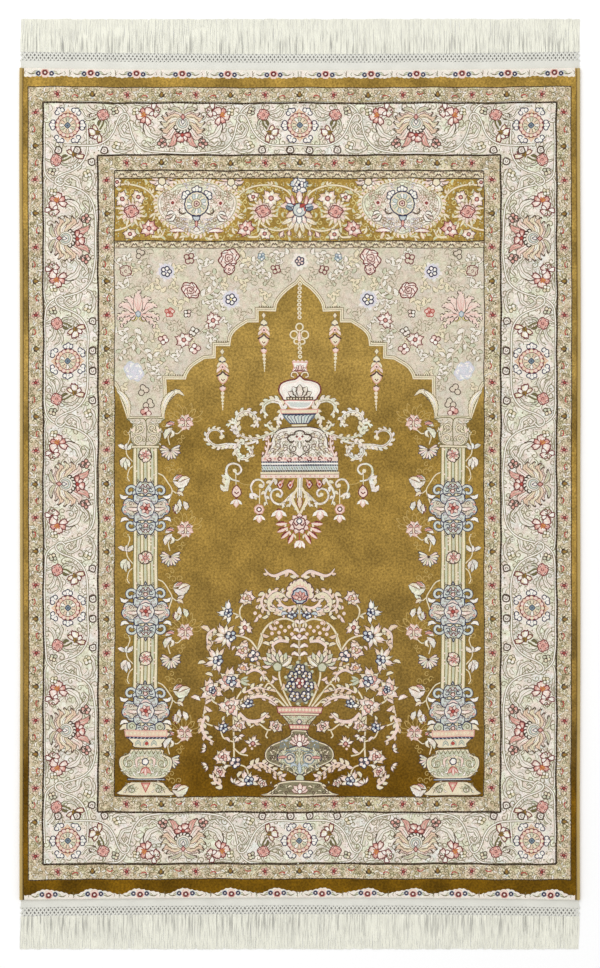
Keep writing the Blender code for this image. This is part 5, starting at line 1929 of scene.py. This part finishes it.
    for x, y, reach in ((228, 612.4, 3.4), (230.8, 636, 4.4), (218.4, 660, 4.2), (231, 681, 4.4),
            (212, 690, 2.6), (248.5, 703.6, 3.4), (223, 728, 3.6), (249, 781, 3.8), (235.4, 762.7, 4.6),
            (254.2, 656, 4.8), (292, 614.6, 3.6)):
        cluster(pen.at(complex(x, y), x), reach + 0.8, 5, "sky" if reach < 4.5 else "blush", "navy", 1.1)
    shell = pen.at(277.4+669j, -95)
    for lean in (-50, -30, -10, 12, 34, 54):
        ray = shell.at(0j, lean)
        notched_leaf(ray.at(4), 15, 6.6, ("blush", "sage", "cream")[(lean + 50) // 20 % 3], "umber", 0.9)
        ray.line([4, 14], 0.8, "lichen")
    shell.shape(lobed(5, 4.6, 0.8) + 2, "sage", "moss", 1)
    pen.fan(240+681j, (-30, 0, 30), [0j, 4, 9], 3.2, "sage", "moss", 0.6)
    for x, y, lean in ((288, 614, 170), (284, 611, 200), (296, 613, -30)):
        small_leaf(pen, x, y, lean, 7, "sky", "navy")


def bouquet_middle(pen):
    """What stands on the middle line of the bunch, drawn about that line."""
    pen.line([604j, 706j], 1.8, "cream")
    pen.line([606j, 700j], 0.6, "ochre")
    for y, reach in ((632, 6), (640, 8), (648, 9), (656, 8), (624, 5)):
        for side in (-1, 1):
            pen.leaf([1j * y, side * reach * 0.6 + 1j * (y - 3), side * reach + 1j * (y - 1)], 3.8, "blush",
                "umber", 0.7)
    pen.shape(lobed(4, 2.6, 0.6) + 636j, "blush", "wine", 0.8)
    for side in (-1, 1):
        pen.leaf([side * 2+604j, side * 3+609j, side * 6+612j], 2.2, "cream", "umber", 0.6)
        scroll(pen, swung(side, (4, 606), (13, 608), (20, 603), (20, 595), (15, 591)), 3.6, 7, 4.6, "blush",
            "umber", -side, 0.3, ("cream", "blush"), 0.9)
        scroll(pen, swung(side, (12, 598), (23, 594), (31, 600), (30, 610), (24, 612)), 4.2, 8, 5, "cream",
            "umber", -side, 0.3, ("blush", "cream"), 0.9)
    leans = (-184, -158, -134, -110, -46, -22, 4, -70)
    fan = [594j + 10.4 * np.exp(1j * math.radians(lean)) for lean in leans]
    for spot in (*fan, 582.6j):
        pen.shape(lobed(3, 4.4, 0.5, 4, spot.real) + spot, "blush", "umber", 0.9)
    for spot in (*fan, 582.6j):
        pen.fill(lobed(3, 2.6, 0.3) + spot, "cream")
        pen.line([594j + 0.5 * (spot - 594j), spot], 0.6, "rose")
    pen.shape(lobed(9, 9.4, 1.4) + 595j, "blush", "rose", 0.8)
    pen.shape(lobed(10, 8, 1.2) + 596j, "sky", "navy", 1.5)
    pen.fan(599j, (-160, -125, -90, -55, -20), [0j, 4, 8.4], 3.8, "rose", "wine", 0.9)
    pen.shape(lobed(3, 2, 0.4) + 599j, "blush", "wine", 0.9)
    heap = both_sides((0, 660), (8, 667), (13, 678), (14, 688), (11, 697), (5, 704))
    pen.shape(heap, "lichen", "moss", 1.2)
    for k in range(22):
        angle = 2 * np.pi * k / 22
        spot = 14.6 * math.cos(angle) + 1j * (683 + 21 * math.sin(angle))
        pen.fill(lobed(3, 1.7, 0.3) + spot, "sage" if k % 2 else "ochre")
    for x, y, edge in ((0, 669, "navy"), (-7, 676, "navy"), (7, 676, "navy"), (0, 683, "wine"),
            (-9, 686, "navy"), (9, 686, "navy"), (-5.4, 696, "navy"), (5.4, 696, "navy")):
        cluster(pen.at(x + 1j * y), 4.9, 5, "ivory" if edge == "navy" else "blush", edge, 1.3)
        pen.fill(lobed(4, 1.1, 0) + x + 1j * y, "ochre" if edge == "navy" else "brick")


def vase(pen):
    """The vase, drawn about its own middle line."""
    cup_wall = run_of((-19, 714), (19, 714), (12, 722), (8.6, 727), (-8.6, 727), (-12, 722))
    pen.shape(cup_wall, "sage", "umber", 0.9)
    for half in pen.halves():
        curls(half, (1, 715, 14, 726), 3.6, 0.5, "tan", "cream", 78, 1.3)
    for side in (-1, 1):
        pen.stroke([side * 15+716j, side * 9+720j, side * 6+725j], 0.9, "olive")
    pen.shape(lobed(4, 2.4, 0.5) + 721.6j, "blush", "navy", 0.9)
    for y0, y1, half, yarn in ((706.6, 712.8, 23.4, "rose"), (712.8, 715.2, 20.6, "cream"),
            (724.6, 729.4, 10.4, "rose")):
        pen.shape(bar(half, y0, half - 1.4, y1), yarn, "wine", 0.8)
    for k in range(13):
        pen.fill(lobed(4, 1.5, 0.2) - 20.4 + 3.4 * k + 709.6j, "cream")
    for k in range(6):
        pen.fill(lobed(3, 1.2, 0.1) - 8 + 3.2 * k + 727j, "cream")
    body = both_sides((7, 730), (9, 735), (17, 740), (27, 744), (33.6, 750), (34.6, 757), (31, 762),
        (22, 766), (12, 771), (3, 776))
    pen.shape(body, "cream", "umber", 0.9)
    pen.fill(grown(body, -1.4), "lichen")
    for half in pen.halves():
        for k, box in enumerate(((20, 746, 31, 762), (8, 739, 20, 748), (1, 733, 8, 741),
                (8, 764, 22, 769))):
            curls(half, box, 4.2, 0.62, "steel" if k % 2 else "umber", "sky" if k % 2 else "cream", 70 + k,
                1.2)
    inner = both_sides((0, 745), (7, 747), (13, 749), (20, 752), (22, 758), (18, 764), (9, 768), (0, 775))
    pen.shape(inner, "sage", "navy", 1.2)
    for half in pen.halves():
        curls(half, (1, 748, 20, 771), 3.2, 0.6, "olive", "cream", 77, 1.2)
        half.shape(lobed(5, 5.6, 0.7) + 9.6+758j, "linen", "steel", 1)
        half.stroke(coil(9.6+758j, 4, 180, 1.1, 0.2), 1.1, "navy")
        half.leaf([12+757j, 17+757j, 22+757.6j], 2.2, "rose", "wine", 0.8)
        half.leaf([2+766j, 6+764j, 9+767j], 2.2, "sky", "steel", 0.6)
        half.stroke([1+749j, 6+751j, 14+750j], 0.9, "steel")
    pen.leaf([762j, 768j, 774j], 3, "sky", "steel", 0.8)
    pen.fan(744j, (-165, -15, -140, -40, -115, -65, -90), [1, 5, 10.4], 4.2, "blush", "wine", 0.9)
    pen.shape(lobed(5, 3, 0.5) + 744j, "snow", "wine", 0.9)
    pen.shape(lobed(5, 4.4, 0.7) + 778j, "sage", "umber", 0.9)
    foot = both_sides((5, 780), (14, 781), (22, 783), (25, 788), (33, 793), (36, 795.6))
    pen.shape(foot, "cream", "umber", 0.8)
    pen.fill(grown(foot, -1.6), "lichen")
    for half in pen.halves():
        curls(half, (8, 784, 30, 794), 4.4, 0.62, "umber", "cream", 75, 1.2)
    pen.fan(791j, (-170, -10, -140, -40, -90), [0j, 4, 8.4], 4.4, "blush", "wine", 0.8)
    pen.shape(lobed(5, 2.4, 0.4) + 791j, "snow", "wine", 0.8)


vase_chart = []
bouquet(Pen(vase_chart))
vase_middle = Pen(vase_chart, AXIS)
bouquet_middle(vase_middle)
vase(vase_middle)
vase_chart = mirrored(vase_chart + column_chart)
pile_pieces.append(weave("field_vase", vase_chart, (LEFT, ARCH_LOW, RIGHT, LOW)))

# ---------------------------------------------------------------------------------------------
# The overcast edges: gold yarn wound close round the edge cords of both long sides.
# ---------------------------------------------------------------------------------------------
BINDING_HEIGHT = 0.0062
WRAP = 0.0016  # one turn of the overcasting yarn


def strands(name, paths, half_width, half_height, sides):
    """One mesh of closed strands; paths is (strand, point, xyz), the sizes (strand, point)."""
    count, length = paths.shape[:2]
    ahead = np.gradient(paths, axis=1)
    side = np.stack((ahead[..., 1], -ahead[..., 0], 0 * ahead[..., 0]), axis=-1)
    side /= np.maximum(np.linalg.norm(side, axis=-1, keepdims=True), 1e-12)
    angle = (np.arange(sides) + 0.5) * 2 * np.pi / sides - np.pi / 2
    ring = paths[:, :, None] + side[:, :, None] * (np.cos(angle) * half_width[..., None])[..., None]
    ring[..., 2] += np.sin(angle) * half_height[..., None]
    ring[..., 2] = np.maximum(ring[..., 2], 0.0)
    base = np.arange(count)[:, None, None] * length * sides
    along = np.arange(length - 1)[None, :, None] * sides
    k = np.arange(sides)[None, None, :]
    turn = (k + 1) % sides
    walls = np.stack((base + along + k, base + along + turn, base + along + sides + turn,
        base + along + sides + k), axis=-1).reshape(-1, 4)
    starts = (base[:, 0] + np.arange(sides)[::-1]).tolist()
    ends = (base[:, 0] + (length - 1) * sides + np.arange(sides)).tolist()
    mesh = bpy.data.meshes.new(name)
    mesh.from_pydata(ring.reshape(-1, 3).tolist(), [], walls.tolist() + starts + ends)
    return mesh


def make_binding(name, side, material):
    """A flattened bar wound with yarn; it follows the cloth's long side."""
    length = 2 * end_line(HALF_CLOTH)
    turns = int(length / WRAP)
    y = np.linspace(-length / 2, length / 2, 2 * turns + 1)
    swell = 1.0 - 0.12 * np.tile([1.0, 0.0], turns + 1)[: len(y)]
    middle = side * (WIDTH / 2 - BINDING_WIDTH / 2 + edge_shift(y, side))
    path = np.stack((middle, y, 0 * y + BINDING_HEIGHT / 2), axis=-1)[None]
    half = 1.0824 * BINDING_WIDTH / 2 * swell[None]
    mesh = strands(name, path, half, 1.0824 * BINDING_HEIGHT / 2 * swell[None], 8)
    for v in mesh.vertices:
        v.co.y = max(-length / 2, min(length / 2, v.co.y + 0.12 * (v.co.x - side * WIDTH / 2)))
    return make_object(name, mesh, material)


gold_yarn = cotton("overcast_gold_yarn", (0.50, 0.36, 0.13), 0.0016, 0.0002)
for name, side, solid in (("overcast_left", -1, "selvedge_left"), ("overcast_right", 1, "selvedge_right")):
    make_binding(name, side, gold_yarn)
    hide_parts(solid)

# ---------------------------------------------------------------------------------------------
# The white ends: a flat woven band, a net of four rows of small knots, and the trimmed fringe, all
# of the rug's own off-white warp yarn. Under the net lies a dark layer of painted shade for its gaps,
# and the fringe's roots carry painted shade streaks.
# ---------------------------------------------------------------------------------------------
HEADING_WIDTH = 0.797
BAND_DEPTH = 0.0114
FRINGE_TIP = 0.6648
STRAND_COUNT = 142
PITCH = HEADING_WIDTH / STRAND_COUNT
KNOT_ROWS = 4
ROW_STEP = 0.0039
THREADS = 13  # in each lock


def make_band(name, end, material):
    """The flat woven band beyond the pile."""
    bm = bmesh.new()
    bmesh.ops.create_grid(bm, x_segments=120, y_segments=4, size=0.5)
    for v in bm.verts:
        x = v.co.x * HEADING_WIDTH
        drift = 0.0003 * math.sin(40 * x + end) + 0.0002 * math.sin(133 * x)
        depth = GAP + (v.co.y + 0.5) * (BAND_DEPTH + drift - GAP)
        v.co = (x, end * (end_line(x) + depth), 0.0)
    made = bmesh.ops.extrude_face_region(bm, geom=bm.faces[:])
    for v in made["geom"]:
        if isinstance(v, bmesh.types.BMVert):
            v.co.z = 0.0021 + 0.0001 * math.sin(170 * v.co.x)
    bmesh.ops.recalc_face_normals(bm, faces=bm.faces)
    mesh = bpy.data.meshes.new(name)
    bm.to_mesh(mesh)
    bm.free()
    return make_object(name, mesh, material)


def make_net(name, end, material):
    """Rows of knots with a cord from each knot to the two below it, each row half a step on."""
    cords, knots = [], []
    for row in range(KNOT_ROWS):
        odd = row % 2
        columns = (np.arange(STRAND_COUNT + 1 - odd) + 0.5 * odd) * PITCH - HEADING_WIDTH / 2
        for x in columns:
            knots.append((x, row))
            for way in (-1, 1):
                if row < KNOT_ROWS - 1 and abs(x + way * PITCH / 2) <= HEADING_WIDTH / 2 + 1e-6:
                    cords.append((x, row, way))

    def place(x, row):
        shift = 0.0003 * np.sin(x * 510 + 2.1 * row)
        return x + shift, end * (end_line(x) + BAND_DEPTH + row * ROW_STEP + 0.4 * shift)

    x, row, way = np.array(cords).T
    x0, y0 = place(x, row)
    x1, y1 = place(x + way * PITCH / 2, row + 1)
    t = np.array([0.0, 0.5, 1.0])
    path = np.stack((
        x0[:, None] + (x1 - x0)[:, None] * t, y0[:, None] + (y1 - y0)[:, None] * t,
        np.full((len(x), 3), 0.0011),
    ), axis=-1)
    size = np.tile([0.0017, 0.0014, 0.0017], (len(x), 1))
    net = strands(name, path, size, 0.65 * size, 4)
    x, row = np.array(knots).T
    x, y = place(x, row)
    t = np.array([-1.0, -0.4, 0.4, 1.0])
    path = np.stack((
        x[:, None] + 0 * t, y[:, None] + end * 0.0014 * t, np.full((len(x), 4), 0.0013),
    ), axis=-1)
    size = np.tile([0.0006, 0.0013, 0.0013, 0.0006], (len(x), 1))
    lumps = strands(name + "_knots", path, size, size, 6)
    bm = bmesh.new()
    bm.from_mesh(net)
    bm.from_mesh(lumps)
    bmesh.ops.recalc_face_normals(bm, faces=bm.faces)
    bm.to_mesh(net)
    bm.free()
    bpy.data.meshes.remove(lumps)
    return make_object(name, net, material)


def make_painted_net_shade(name, end, material):
    """Thin dark threads under the knots, laid where the warp would pass behind them: painted shade, seen
    through the net's gaps where the holes would be in shadow.
    """
    x = (np.arange(4 * STRAND_COUNT - 8) + 4.5) * PITCH / 4 - HEADING_WIDTH / 2
    t = np.linspace(0.06, 0.94, 3)
    y = end_line(x)[:, None] + BAND_DEPTH + (KNOT_ROWS - 1) * ROW_STEP * t
    path = np.stack((x[:, None] + 0 * t, end * y, np.full(y.shape, 0.0003)), axis=-1)
    size = np.full(y.shape, 0.0007)
    return make_object(name, strands(name, path, size, 0.4 * size, 4), material)


def make_fringe(name, end, seed, material):
    """Each knot's lock of warp threads, tight at the knot and spread where it is trimmed."""
    chance = random.Random(seed)
    k = np.arange(STRAND_COUNT)
    drift = np.sin(0.31 * k + end) + 0.6 * np.sin(0.13 * k * k**0.15 + 2 * end)
    lean = 0.0008 * drift + np.array([chance.uniform(-0.0003, 0.0003) for _ in k])
    tip = np.array([FRINGE_TIP - 0.0011 * chance.random() ** 1.5 for _ in k])
    longest = chance.randrange(STRAND_COUNT)
    tip[longest] = FRINGE_TIP
    rng = np.random.default_rng(seed)
    centre = (k + 0.5) * PITCH - HEADING_WIDTH / 2
    root = end_line(centre) + BAND_DEPTH + (KNOT_ROWS - 1) * ROW_STEP + 0.0004
    s = np.linspace(0.0, 1.0, 6)
    shape = (STRAND_COUNT, THREADS)
    across = np.tile(np.linspace(-1, 1, THREADS), (STRAND_COUNT, 1)) + rng.uniform(-0.12, 0.12, shape)
    level = 0.55 * np.sqrt(1 - np.minimum(np.abs(across), 1) ** 2) + rng.uniform(0.0, 0.45, shape)
    short = rng.uniform(0.0, 0.0006, shape)
    short[longest, THREADS // 2] = 0.0
    spread = 0.0030 + 0.0001 * np.minimum(s * 2.2, 1.0)
    wave = 0.00028 * np.sin(
        s * rng.uniform(5, 11, shape)[..., None] + rng.uniform(0, 6.3, shape)[..., None]
    ) * np.minimum(3 * s, 1)
    x = centre[:, None, None] + lean[:, None, None] * (0.25 * s + 0.75 * s**2)
    x = x + across[..., None] * spread + wave
    y = root[:, None, None] + ((tip - root)[:, None, None] - short[..., None]) * s
    z = 0.0003 + level[..., None] * (0.0020 - 0.0012 * np.minimum(s * 1.4, 1.0))
    path = np.stack((x, end * y, z), axis=-1).reshape(-1, len(s), 3)
    width = np.tile(np.linspace(0.00056, 0.00042, len(s)), (len(path), 1))
    mesh = strands(name, path, width, 0.6 * width, 3)
    return make_object(name, mesh, material)


white_cotton = cotton("white_warp_yarn", (0.76, 0.755, 0.69), 0.0009, 0.0002)
# the fringe yarn's last argument paints shade streaks at the fringe's roots
loose_cotton = cotton("white_fringe_yarn", (0.885, 0.878, 0.785), 0.0030, 0.0001, 0.34)
# painted shade: a dark copy of the warp yarn, standing in for the shadow in the net's gaps
painted_shade_cotton = cotton("painted_shade_yarn", (0.20, 0.19, 0.17), 0.0009, 0.0001)
white_ends = []
for end, seed, tail in ((1, 11, "arch_end"), (-1, 12, "foot_end")):
    made = (
        make_band("woven_band_" + tail, end, white_cotton),
        make_net("knotted_net_" + tail, end, white_cotton),
        make_painted_net_shade("painted_shade_under_net_" + tail, end, painted_shade_cotton),
        make_fringe("fringe_threads_" + tail, end, seed, loose_cotton),
    )
    for piece in made:
        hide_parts("fringe_" + tail)
    white_ends += made

for piece in pile_pieces:
    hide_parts("rug_body")
